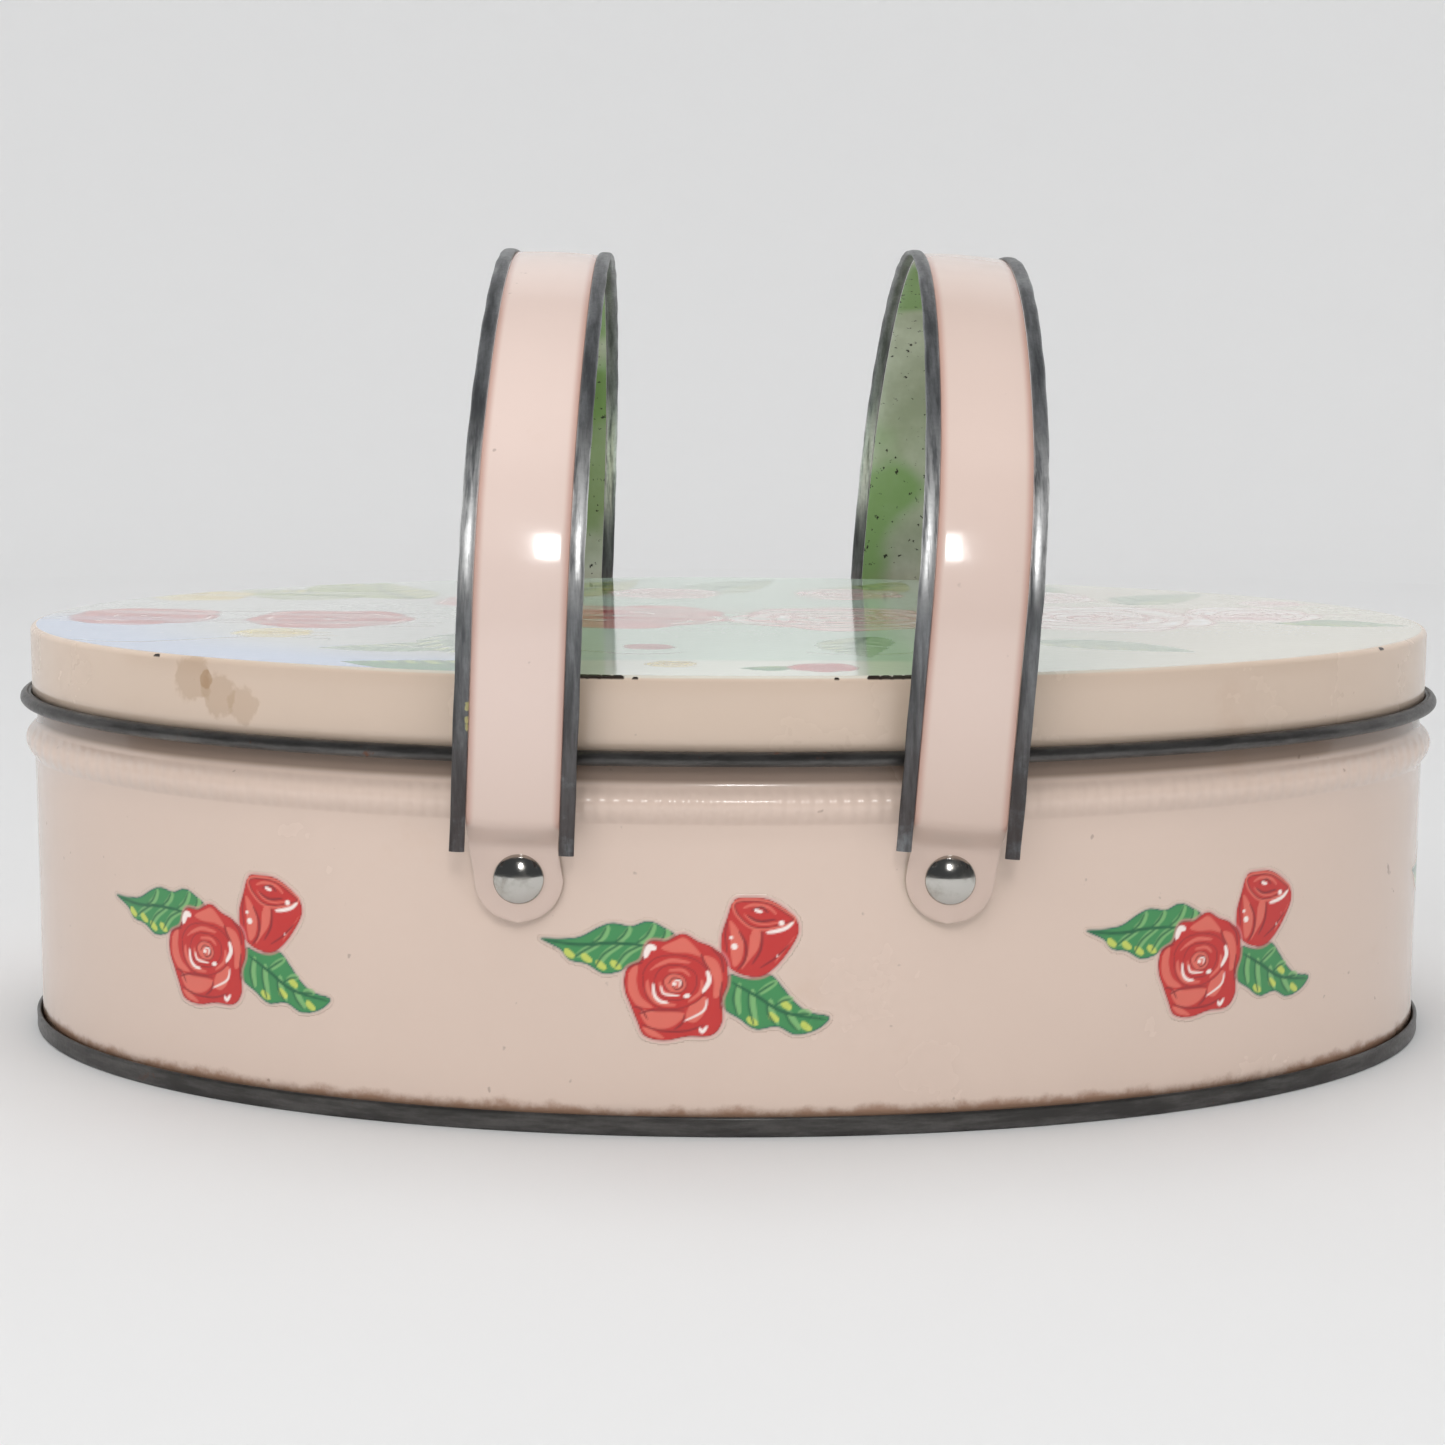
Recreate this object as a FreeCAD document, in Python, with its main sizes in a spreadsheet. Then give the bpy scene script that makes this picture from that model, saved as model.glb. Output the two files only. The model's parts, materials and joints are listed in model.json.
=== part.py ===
import FreeCAD, Part
import math
import os
import re
import Sketcher

# Oval hinged-handle tin: a drawn lid over a beaded, double-seamed body with two
# riveted swing-over strap handles.  Millimetres, +Z up, +X along the oval's
# length, -Y the front.  The origin is the middle of the ring it stands on.

DIMENSIONS = {
    # the datum oval is the outside of the lid's skirt
    "oval_length": 250.0,
    "oval_width": 162.8,
    "sheet": 0.25,
    # body wall: how far its outside and its neck's outside stand in from the datum
    "wall_inset": 0.2,
    "neck_inset": 0.75,
    "neck_top": 70.6,
    "neck_hem": 3.0,
    "bead_low": 49.4,
    "bead_high": 55.4,
    "bead_rise": 1.5,
    "shoulder": 0.8,
    "wall_seam_width": 5.0,
    # double seam round the base
    "seam_height": 3.2,
    "seam_out": 0.85,
    "layer_gap": 0.1,
    "land_rise": 0.05,
    "cover_hook_low": 1.2,
    "body_hook_top": 2.7,
    "panel_height": 2.6,
    "panel_lap": 3.0,
    # lid
    "lid_top": 72.5,
    "lid_corner": 1.0,
    "curl_height": 59.8,
    "curl_radius": 1.2,
    "curl_end_in": 0.6,
    "curl_end_up": 1.0392,
    # handle pivots and rivets
    "pivot_x": 33.4,
    "pivot_height": 40.7,
    "boss_radius": 6.0,
    "boss_face": 79.55,
    "rivet_hole_radius": 1.6,
    "shank_radius": 1.55,
    "head_radius": 3.95,
    "head_rim": 0.3,
    "head_height": 1.7,
    "tail_radius": 2.6,
    "tail_height": 1.0,
    "tail_rim": 0.4,
    "washer_radius": 4.2,
    "washer_thick": 0.5,
    "washer_gap": 0.05,
    # handle strap, measured from its pivot
    "strap": 0.4,
    "tongue_face": 79.75,
    "head_gap": 0.15,
    "leg_face": 84.2,
    "jog_low": 5.3,
    "jog_high": 9.8,
    "arch_start": 39.8,
    "bend_radius": 40.0,
    "crown_height": 96.65,
    "web_width": 13.8,
    "strap_width": 19.2,
    "hem_rise": 0.6,
    "hem_low": 4.8,
    "hem_round": 0.35,
    # how far each rivet stands from the middle of its strap, towards +X
    "left_shift": 1.0,
    "right_shift": -0.4,
    # how far each handle leans towards +X as it stands
    "left_lean": 2.25,
    "right_lean": 4.1,
}

ARCH_RISE = "(crown_height - arch_start)"
ARCH_RADIUS = (
    "(pow(leg_face - bend_radius; 2) + pow({0}; 2) - pow(bend_radius; 2))"
    " / (2 * ({0} - bend_radius))"
).format(ARCH_RISE)
BEAD_BOW = "(pow((bead_high - bead_low) / 2; 2) + pow(bead_rise; 2)) / (2 * bead_rise)"


def make_sheet(doc):
    """The spreadsheet that holds every driving dimension."""
    sheet = doc.addObject("Spreadsheet::Sheet", "Sizes")
    for row, (alias, size) in enumerate(DIMENSIONS.items(), start=1):
        sheet.set("A%d" % row, alias)
        sheet.set("B%d" % row, str(size))
        sheet.setAlias("B%d" % row, alias)
    doc.recompute()
    return sheet


def on_sheet(formula):
    """The formula with each bare dimension name pointing at the spreadsheet."""
    return re.sub(
        "[a-z_]+", lambda word: "Sizes." + word[0] if word[0] in DIMENSIONS else word[0], formula
    )


def value(sheet, formula):
    """The number that a formula of dimension names comes to."""
    return float(sheet.evalExpression(on_sheet(formula)))


def add_body(doc, label):
    """An empty PartDesign body with its label."""
    body = doc.addObject("PartDesign::Body", label)
    body.Label = label
    return body


def add_sketch(body, name, role, shift=None):
    """A sketch on one of the body's origin planes, moved along its normal by a formula."""
    sketch = body.newObject("Sketcher::SketchObject", name)
    planes = [plane for plane in body.Origin.OriginFeatures if plane.Role == role]
    sketch.AttachmentSupport = (planes[0], [""])
    sketch.MapMode = "FlatFace"
    if shift:
        sketch.setExpression("AttachmentOffset.Base.z", on_sheet(shift))
    return sketch


def bind(sketch, kind, geometry, point, formula, sheet):
    """Fix one coordinate of a sketch point to a formula."""
    index = sketch.addConstraint(
        Sketcher.Constraint(kind, -1, 1, geometry, point, value(sheet, formula))
    )
    sketch.setExpression("Constraints[%d]" % index, on_sheet(formula))


def bind_length(sketch, geometry, formula, sheet):
    """Fix a line's length to a formula."""
    index = sketch.addConstraint(Sketcher.Constraint("Distance", geometry, value(sheet, formula)))
    sketch.setExpression("Constraints[%d]" % index, on_sheet(formula))


def bind_radius(sketch, geometry, formula, sheet):
    """Fix a circle's or an arc's radius to a formula."""
    index = sketch.addConstraint(Sketcher.Constraint("Radius", geometry, value(sheet, formula)))
    sketch.setExpression("Constraints[%d]" % index, on_sheet(formula))


def add_ellipse(sketch, sheet, inset):
    """The datum oval, drawn in by a formula."""
    half_length = "oval_length / 2 - (%s)" % inset
    half_width = "oval_width / 2 - (%s)" % inset
    end = FreeCAD.Vector(value(sheet, half_length), 0, 0)
    side = FreeCAD.Vector(0, value(sheet, half_width), 0)
    oval = sketch.addGeometry(Part.Ellipse(end, side, FreeCAD.Vector()), False)
    sketch.exposeInternalGeometry(oval)
    major_axis, minor_axis = oval + 1, oval + 2
    sketch.addConstraint(Sketcher.Constraint("Coincident", oval, 3, -1, 1))
    sketch.addConstraint(Sketcher.Constraint("Horizontal", major_axis))
    bind_length(sketch, major_axis, "2 * (%s)" % half_length, sheet)
    bind_length(sketch, minor_axis, "2 * (%s)" % half_width, sheet)


def add_circle(sketch, sheet, across, up, radius):
    """A circle with its centre and radius on formulas."""
    centre = FreeCAD.Vector(value(sheet, across), value(sheet, up), 0)
    circle = Part.Circle(centre, FreeCAD.Vector(0, 0, 1), value(sheet, radius))
    index = sketch.addGeometry(circle, False)
    bind(sketch, "DistanceX", index, 3, across, sheet)
    bind(sketch, "DistanceY", index, 3, up, sheet)
    bind_radius(sketch, index, radius, sheet)


def corner_point(sheet, corner):
    """Where an outline's corner lies."""
    return FreeCAD.Vector(value(sheet, corner[0]), value(sheet, corner[1]), 0)


def arc_through(start, end, centre, long_way):
    """The arc about a centre from start to end, the short way round or the long way."""
    radius = start.sub(centre).Length
    middle = start.add(end).multiply(0.5).sub(centre)
    if middle.Length < 1e-6:
        middle = FreeCAD.Vector(end.y - start.y, start.x - end.x, 0)
    middle.normalize().multiply(-radius if long_way else radius)
    return Part.Arc(start, centre.add(middle), end)


def add_outline(sketch, sheet, corners):
    """A closed outline.

    A corner is a pair of formulas.  A corner that an arc leads to also has the
    arc's centre as two more formulas, and "long" if the arc is over half a turn.
    """
    first = None
    for number, corner in enumerate(corners):
        start = corner_point(sheet, corners[number - 1])
        end = corner_point(sheet, corner)
        if len(corner) == 2:
            index = sketch.addGeometry(Part.LineSegment(start, end), False)
            tail, head = 1, 2
        else:
            centre = corner_point(sheet, corner[2:4])
            arc = arc_through(start, end, centre, len(corner) == 5)
            index = sketch.addGeometry(arc, False)
            starts_here = sketch.getPoint(index, 1).distanceToPoint(start) < 1e-6
            tail, head = (1, 2) if starts_here else (2, 1)
            upright = abs(end.y - start.y) > abs(end.x - start.x)
            kind = "DistanceX" if upright else "DistanceY"
            bind(sketch, kind, index, 3, corner[2] if upright else corner[3], sheet)
        if first is None:
            first = (index, tail)
        else:
            sketch.addConstraint(Sketcher.Constraint("Coincident", last[0], last[1], index, tail))
        bind(sketch, "DistanceX", index, head, corner[0], sheet)
        bind(sketch, "DistanceY", index, head, corner[1], sheet)
        last = (index, head)
    sketch.addConstraint(Sketcher.Constraint("Coincident", last[0], last[1], first[0], first[1]))


def sweep_round_oval(body, sheet, name, corners):
    """A profile, drawn at the oval's +X end, carried all the way round the oval."""
    spine = add_sketch(body, name + "_path", "XY_Plane")
    add_ellipse(spine, sheet, "0")
    profile = add_sketch(body, name + "_profile", "XZ_Plane")
    datum = "oval_length / 2"
    shifted = []
    for corner in corners:
        moved = [datum + " + (" + corner[0] + ")", corner[1]]
        if len(corner) > 2:
            moved += [datum + " + (" + corner[2] + ")", corner[3]]
        shifted.append(tuple(moved) + tuple(corner[4:]))
    add_outline(profile, sheet, shifted)
    body.Document.recompute()
    pipe = body.newObject("PartDesign::AdditivePipe", name)
    pipe.Profile = profile
    pipe.Spine = spine
    return pipe


def add_pad(body, sketch, name, length, midplane=False, reverse=False):
    """A pad as long as a formula."""
    pad = body.newObject("PartDesign::Pad", name)
    pad.Profile = sketch
    pad.SideType = "Symmetric" if midplane else "One side"
    pad.Reversed = reverse
    pad.setExpression("Length", on_sheet(length))
    return pad


def add_pocket(body, sketch, name, length, midplane=False, reverse=False):
    """A pocket as deep as a formula, which has to take something away."""
    body.Document.recompute()
    before = body.Shape.Volume
    pocket = body.newObject("PartDesign::Pocket", name)
    pocket.Profile = sketch
    pocket.SideType = "Symmetric" if midplane else "One side"
    pocket.Reversed = reverse
    pocket.setExpression("Length", on_sheet(length))
    body.Document.recompute()
    if body.Shape.Volume > before - 1e-6:
        raise RuntimeError(name + " cuts nothing")
    return pocket


def oval_panel(body, sheet, name, height):
    """The flat sheet inside a swept rim, with its underside at a height."""
    sketch = add_sketch(body, name + "_outline", "XY_Plane", height)
    add_ellipse(sketch, sheet, "panel_lap - lid_corner")
    add_pad(body, sketch, name, "sheet")


def wall_profile():
    """The body sheet: base hook, wall, bead, necked-in top and its inward hem."""
    outside = "-wall_inset"
    inside = "-wall_inset - sheet"
    neck_outside = "-neck_inset"
    neck_inside = "-neck_inset - sheet"
    hook_outside = "seam_out - sheet - layer_gap"
    bow_centre = "-wall_inset + bead_rise - " + BEAD_BOW
    inner_bow_centre = "-wall_inset - sheet + bead_rise - " + BEAD_BOW
    bead_middle = "(bead_low + bead_high) / 2"
    foot = "sheet + land_rise + layer_gap"
    return [
        (inside, foot),
        (hook_outside, foot),
        (hook_outside, "body_hook_top"),
        (hook_outside + " - sheet", "body_hook_top"),
        (hook_outside + " - sheet", foot + " + sheet"),
        (outside, foot + " + sheet"),
        (outside, "bead_low"),
        (outside, "bead_high", bow_centre, bead_middle),
        (neck_outside, "bead_high + shoulder"),
        (neck_outside, "neck_top"),
        (neck_inside + " - 1.4 * sheet", "neck_top"),
        (neck_inside + " - 1.4 * sheet", "neck_top - neck_hem"),
        (neck_inside, "neck_top - neck_hem"),
        (neck_inside, "bead_high + shoulder"),
        (inside, "bead_high"),
        (inside, "bead_low", inner_bow_centre, bead_middle),
    ]


def make_wall(doc, sheet):
    """Body wall with its bead, flat rivet seats, rivet holes and rear lock seam."""
    body = add_body(doc, "body_wall")
    sweep_round_oval(body, sheet, "wall", wall_profile())
    lock = add_sketch(body, "lock_outline", "XY_Plane", "seam_height + 1")
    face = "oval_width / 2 - wall_inset - 0.7 * sheet"
    back = face + " - 2.6 * sheet"
    half = "wall_seam_width / 2"
    add_outline(lock, sheet, [("-" + half, back), (half, back), (half, face), ("-" + half, face)])
    add_pad(body, lock, "lock", "bead_low - seam_height - 2")
    seats = add_sketch(body, "seat_outline", "XZ_Plane")
    cups = add_sketch(body, "cup_outline", "XZ_Plane")
    holes = add_sketch(body, "hole_outline", "XZ_Plane")
    for side in ("-pivot_x", "pivot_x"):
        add_circle(seats, sheet, side, "pivot_height", "boss_radius")
        add_circle(cups, sheet, side, "pivot_height", "boss_radius - sheet")
        add_circle(holes, sheet, side, "pivot_height", "rivet_hole_radius")
    add_pad(body, seats, "seats", "2 * boss_face", midplane=True)
    inside = add_sketch(body, "inside_outline", "XY_Plane", "pivot_height - boss_radius - 1")
    add_ellipse(inside, sheet, "wall_inset + 1.2 * sheet")
    add_pocket(body, inside, "inside", "2 * boss_radius + 2", reverse=True)
    add_pocket(body, cups, "cups", "2 * (boss_face - sheet)", midplane=True)
    add_pocket(body, holes, "holes", "oval_width", midplane=True)
    return body


def make_base(doc, sheet):
    """Base panel, hooked round the wall's foot in a double seam with a flat land under it."""
    body = add_body(doc, "base_panel")
    chuck_outside = "-wall_inset - sheet - layer_gap"
    chuck_inside = chuck_outside + " - sheet"
    hook_inside = "-wall_inset + layer_gap"
    sweep_round_oval(body, sheet, "rim", [
        (chuck_inside, "land_rise"),
        ("seam_out - sheet", "land_rise"),
        ("seam_out", "sheet + land_rise", "seam_out - sheet", "sheet + land_rise"),
        ("seam_out", "seam_height - sheet"),
        ("seam_out - sheet", "seam_height", "seam_out - sheet", "seam_height - sheet"),
        (hook_inside, "seam_height"),
        (hook_inside, "cover_hook_low"),
        (hook_inside + " + sheet", "cover_hook_low"),
        (hook_inside + " + sheet", "seam_height - sheet"),
        ("seam_out - sheet", "seam_height - sheet"),
        ("seam_out - sheet", "sheet + land_rise"),
        (chuck_outside, "sheet + land_rise"),
        (chuck_outside, "panel_height + sheet"),
        ("-panel_lap", "panel_height + sheet"),
        ("-panel_lap", "panel_height"),
        (chuck_inside, "panel_height"),
    ])
    oval_panel(body, sheet, "panel", "panel_height")
    land = add_sketch(body, "land_outline", "XY_Plane")
    add_ellipse(land, sheet, "2 * sheet - seam_out")
    add_ellipse(land, sheet, "wall_inset + 2 * sheet")
    add_pad(body, land, "land", "sheet")
    return body


def make_lid(doc, sheet):
    """Drawn lid: flat panel, rounded corner, skirt and an outward-curled raw edge."""
    body = add_body(doc, "lid_shell")
    curl_middle = "curl_radius - sheet"
    bore = "(curl_radius - sheet) / curl_radius"
    sweep_round_oval(body, sheet, "skirt", [
        ("-panel_lap", "lid_top - sheet"),
        ("-lid_corner", "lid_top - sheet"),
        ("-sheet", "lid_top - lid_corner", "-lid_corner", "lid_top - lid_corner"),
        ("-sheet", "curl_height"),
        (curl_middle + " - curl_end_in", "curl_height + curl_end_up",
         curl_middle, "curl_height", "long"),
        (curl_middle + " - curl_end_in * " + bore, "curl_height + curl_end_up * " + bore),
        ("0", "curl_height", curl_middle, "curl_height", "long"),
        ("0", "lid_top - lid_corner"),
        ("-lid_corner", "lid_top", "-lid_corner", "lid_top - lid_corner"),
        ("-panel_lap", "lid_top"),
    ])
    oval_panel(body, sheet, "panel", "lid_top - sheet")
    return body


def add_arch_path(sketch, sheet):
    """A handle's inner face seen from its end: two legs, a bend over each and a round arch."""
    half = value(sheet, "leg_face")
    foot = value(sheet, "jog_high")
    spring = value(sheet, "arch_start")
    bend = value(sheet, "bend_radius")
    radius = value(sheet, ARCH_RADIUS)
    crown = FreeCAD.Vector(0, value(sheet, "crown_height"), 0)
    centre = crown.sub(FreeCAD.Vector(0, radius, 0))
    turns = []
    for side in (1, -1):
        pivot = FreeCAD.Vector(side * (half - bend), spring, 0)
        leg_top = FreeCAD.Vector(side * half, spring, 0)
        leg = sketch.addGeometry(
            Part.LineSegment(FreeCAD.Vector(side * half, foot, 0), leg_top), False
        )
        outward = pivot.sub(centre).normalize()
        meeting = centre.add(outward * radius)
        turn = sketch.addGeometry(arc_through(leg_top, meeting, pivot, False), False)
        low, high = (1, 2) if side > 0 else (2, 1)
        sketch.addConstraint(Sketcher.Constraint("Vertical", leg))
        bind(sketch, "DistanceX", leg, 1, "leg_face" if side > 0 else "-leg_face", sheet)
        bind(sketch, "DistanceY", leg, 1, "jog_high", sheet)
        bind(sketch, "DistanceY", leg, 2, "arch_start", sheet)
        sketch.addConstraint(Sketcher.Constraint("Tangent", leg, 2, turn, low))
        bind_radius(sketch, turn, "bend_radius", sheet)
        turns.append((turn, high, meeting))
    arch = sketch.addGeometry(Part.Arc(turns[0][2], crown, turns[1][2]), False)
    sketch.addConstraint(Sketcher.Constraint("Tangent", turns[0][0], turns[0][1], arch, 1))
    sketch.addConstraint(Sketcher.Constraint("Tangent", turns[1][0], turns[1][1], arch, 2))
    bind_radius(sketch, arch, ARCH_RADIUS, sheet)


def make_handle(doc, sheet, label, side, shift, lean):
    """Strap handle: flat web with folded-over hems, arched, its feet jogged in to tongues."""
    body = add_body(doc, label)
    path = add_sketch(body, "arch_path", "YZ_Plane")
    add_arch_path(path, sheet)
    section = add_sketch(body, "strap_section", "XY_Plane", "jog_high")
    face = "leg_face + strap"
    crest = "leg_face + strap + hem_rise"
    edge = "strap_width / 2"
    web = "web_width / 2"
    half_section = [
        (edge, "leg_face"),
        (edge, crest + " - hem_round"),
        (edge + " - hem_round", crest, edge + " - hem_round", crest + " - hem_round"),
        (web, crest),
        (web, face),
    ]
    mirrored = [
        ("-" + web, face),
        ("-" + web, crest),
        ("-" + edge + " + hem_round", crest),
        ("-" + edge, crest + " - hem_round", "-" + edge + " + hem_round", crest + " - hem_round"),
        ("-" + edge, "leg_face"),
    ]
    add_outline(section, sheet, half_section + mirrored)
    doc.recompute()
    strap = body.newObject("PartDesign::AdditivePipe", "strap")
    strap.Profile = section
    strap.Spine = path

    feet = add_sketch(body, "hem_feet", "XY_Plane", "hem_low")
    jogs = add_sketch(body, "jog_outline", "YZ_Plane")
    for leg in ("", "-"):
        for hem in ("", "-"):
            add_outline(feet, sheet, [
                (hem + web, leg + "leg_face"),
                (hem + edge, leg + "leg_face"),
                (hem + edge, leg + "(%s)" % crest),
                (hem + web, leg + "(%s)" % crest),
            ])
        add_outline(jogs, sheet, [
            (leg + "tongue_face", "0"),
            (leg + "tongue_face", "jog_low"),
            (leg + "leg_face", "jog_high"),
            (leg + "(%s)" % face, "jog_high"),
            (leg + "(tongue_face + strap)", "jog_low"),
            (leg + "(tongue_face + strap)", "0"),
        ])
    add_pad(body, feet, "hem_ends", "jog_high - hem_low")
    add_pad(body, jogs, "jogs", "web_width", midplane=True)

    tongues = add_sketch(body, "tongue_outline", "XZ_Plane")
    add_circle(tongues, sheet, shift, "0", web)
    add_pad(body, tongues, "tongues", "2 * (tongue_face + strap)", midplane=True)
    between = add_sketch(body, "between_outline", "XZ_Plane")
    add_circle(between, sheet, "0", "0", "web_width")
    add_pocket(body, between, "between_tongues", "2 * tongue_face", midplane=True)
    holes = add_sketch(body, "hole_outline", "XZ_Plane")
    add_circle(holes, sheet, shift, "0", "rivet_hole_radius")
    add_pocket(body, holes, "holes", "oval_width", midplane=True)

    place(body, side, FreeCAD.Vector(0, 1, 0), lean)
    lean_angle = "(%s * 1 deg)" % lean
    across = "%s - %s * cos%s" % (side, shift, lean_angle)
    up = "pivot_height + %s * sin%s" % (shift, lean_angle)
    body.setExpression("Placement.Base.x", on_sheet(across))
    body.setExpression("Placement.Base.z", on_sheet(up))
    return body


def place(body, side, axis, angle):
    """Stand a piece on a pivot's centre, turned about an axis by an angle in degrees."""
    body.Placement = FreeCAD.Placement(FreeCAD.Vector(), FreeCAD.Rotation(axis, 1))
    body.setExpression("Placement.Base.x", on_sheet(side))
    body.setExpression("Placement.Base.z", on_sheet("pivot_height"))
    body.setExpression("Placement.Rotation.Angle", on_sheet(angle + " * 1 deg"))


def make_rivet(doc, sheet, label, side, turn):
    """Domed rivet with its plain shank and its clinched tail, drawn pointing to the front."""
    body = add_body(doc, label)
    head_seat = "tongue_face + strap + head_gap"
    tail_seat = "boss_face - sheet - 2 * washer_gap - washer_thick"
    head_rise = "(head_height - head_rim)"
    tail_rise = "(tail_height - tail_rim)"
    head_bow = "(head_radius * head_radius + {0} * {0}) / (2 * {0})".format(head_rise)
    tail_bow = "(tail_radius * tail_radius + {0} * {0}) / (2 * {0})".format(tail_rise)
    head_crest = "(%s + head_height)" % head_seat
    tail_crest = "(%s - tail_height)" % tail_seat
    profile = add_sketch(body, "profile", "XY_Plane")
    add_outline(profile, sheet, [
        ("0", "-" + head_crest),
        ("head_radius", "-(%s + head_rim)" % head_seat,
         "0", "-(%s - %s)" % (head_crest, head_bow)),
        ("head_radius", "-(%s)" % head_seat),
        ("shank_radius", "-(%s)" % head_seat),
        ("shank_radius", "-(%s)" % tail_seat),
        ("tail_radius", "-(%s)" % tail_seat),
        ("tail_radius", "-(%s - tail_rim)" % tail_seat),
        ("0", "-" + tail_crest, "0", "-(%s + %s)" % (tail_crest, tail_bow)),
    ])
    doc.recompute()
    rivet = body.newObject("PartDesign::Revolution", "rivet")
    rivet.Profile = profile
    rivet.ReferenceAxis = (profile, ["V_Axis"])
    rivet.Angle = 360
    place(body, side, FreeCAD.Vector(0, 0, 1), turn)
    return body


def make_washer(doc, sheet, label, side, turn):
    """Backing washer between a rivet's tail and the inside of its flat seat."""
    body = add_body(doc, label)
    outline = add_sketch(
        body, "outline", "XZ_Plane", "boss_face - sheet - washer_gap - washer_thick"
    )
    add_circle(outline, sheet, "0", "0", "washer_radius")
    add_circle(outline, sheet, "0", "0", "rivet_hole_radius")
    add_pad(body, outline, "washer", "washer_thick")
    place(body, side, FreeCAD.Vector(0, 0, 1), turn)
    return body


def check_and_write(doc, pieces):
    """Stop at any failed object or bad shape, then write one STEP file per piece."""
    for thing in doc.Objects:
        if "Invalid" in thing.State or "Error" in thing.State:
            raise RuntimeError("%s failed: %s" % (thing.Label, thing.State))
    for piece in pieces:
        if piece.Shape.isNull() or not piece.Shape.isValid() or len(piece.Shape.Solids) != 1:
            raise RuntimeError("%s is not one good solid" % piece.Label)
    os.makedirs("parts", exist_ok=True)
    for piece in pieces:
        piece.Shape.exportStep("parts/%s.step" % piece.Label)
        box = piece.Shape.BoundBox
        print("%-22s %9.1f mm3  z %6.2f to %6.2f" % (
            piece.Label, piece.Shape.Volume, box.ZMin, box.ZMax))


def main():
    doc = FreeCAD.newDocument("oval_tin")
    sheet = make_sheet(doc)
    pieces = [make_wall(doc, sheet), make_base(doc, sheet), make_lid(doc, sheet)]
    for row, turn in (("front", "0"), ("rear", "180")):
        for end, side in (("left", "-pivot_x"), ("right", "pivot_x")):
            name = "%s_%s" % (row, end)
            pieces.append(make_rivet(doc, sheet, name + "_rivet", side, turn))
            pieces.append(make_washer(doc, sheet, name + "_washer", side, turn))
    pieces.append(make_handle(doc, sheet, "left_handle", "-pivot_x", "left_shift", "left_lean"))
    pieces.append(make_handle(doc, sheet, "right_handle", "pivot_x", "right_shift", "right_lean"))
    doc.recompute()
    check_and_write(doc, pieces)


main()
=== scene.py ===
import json
import math
import bpy
import numpy as np
from mathutils import Matrix, Vector

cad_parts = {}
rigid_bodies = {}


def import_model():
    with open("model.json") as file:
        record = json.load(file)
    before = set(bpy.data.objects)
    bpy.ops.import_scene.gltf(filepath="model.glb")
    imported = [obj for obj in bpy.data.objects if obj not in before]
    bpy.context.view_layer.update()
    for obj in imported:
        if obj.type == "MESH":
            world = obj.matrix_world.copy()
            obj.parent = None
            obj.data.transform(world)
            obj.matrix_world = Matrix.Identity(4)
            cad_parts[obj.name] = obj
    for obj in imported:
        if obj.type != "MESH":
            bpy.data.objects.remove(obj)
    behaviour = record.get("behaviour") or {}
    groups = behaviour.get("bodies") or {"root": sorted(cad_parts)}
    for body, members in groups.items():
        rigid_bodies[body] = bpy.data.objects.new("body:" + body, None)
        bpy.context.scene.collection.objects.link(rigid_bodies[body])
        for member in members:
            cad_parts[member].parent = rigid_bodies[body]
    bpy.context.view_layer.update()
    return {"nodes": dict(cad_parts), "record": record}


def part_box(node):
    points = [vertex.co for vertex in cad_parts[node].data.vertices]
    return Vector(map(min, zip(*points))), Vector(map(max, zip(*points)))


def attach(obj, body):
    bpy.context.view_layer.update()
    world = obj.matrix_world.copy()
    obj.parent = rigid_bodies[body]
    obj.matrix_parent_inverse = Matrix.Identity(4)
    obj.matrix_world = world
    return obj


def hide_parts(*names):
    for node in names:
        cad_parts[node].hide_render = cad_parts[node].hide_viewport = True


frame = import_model()

# ---------------------------------------------------------------------------
# Sizes, in metres.  The oval's datum is the outside of the lid's skirt.

MM = 0.001
SHEET = 0.25 * MM
CURL_RADIUS = 1.2 * MM
CURL_MIDDLE = CURL_RADIUS - SHEET
LID_LOW, LID_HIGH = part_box("lid_shell")
WALL_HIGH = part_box("body_wall")[1]
BASE_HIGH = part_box("base_panel")[1]
OVAL_X = LID_HIGH[0] - CURL_MIDDLE - CURL_RADIUS
OVAL_Y = LID_HIGH[1] - CURL_MIDDLE - CURL_RADIUS
LID_TOP = LID_HIGH[2]
LID_CORNER = 1.0 * MM
CURL_HEIGHT = LID_LOW[2] + CURL_RADIUS

WALL = -0.2 * MM
NECK = -0.75 * MM
NECK_TOP = WALL_HIGH[2]
BEAD_LOW, BEAD_HIGH, BEAD_RISE = 49.2 * MM, 55.6 * MM, 1.5 * MM
SEAM_TOP, SEAM_OUT = BASE_HIGH[2], 0.85 * MM
PANEL_HEIGHT = 2.6 * MM

JOINTS = {joint["name"]: joint for joint in frame["record"]["behaviour"]["joints"]}
PIVOTS = {side: Vector(JOINTS[side + "_handle_swing"]["pos_m"]) for side in ("left", "right")}
LEANS = {"left": math.radians(2.25), "right": math.radians(4.1)}
SHIFTS = {"left": 1.0 * MM, "right": -0.4 * MM}
TONGUE_FACE, LEG_FACE, STRAP = 79.75 * MM, 84.2 * MM, 0.4 * MM
JOG_LOW, JOG_HIGH, HEM_LOW = 5.3 * MM, 9.8 * MM, 4.8 * MM
ARCH_START, BEND, CROWN = 39.8 * MM, 40.0 * MM, 96.65 * MM
WEB_HALF, STRAP_HALF, HEM_RISE, HEM_LAP = 6.9 * MM, 9.6 * MM, 0.6 * MM, 0.28 * MM
SEAT_RADIUS, SEAT_FACE = 6.0 * MM, 79.55 * MM
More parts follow.
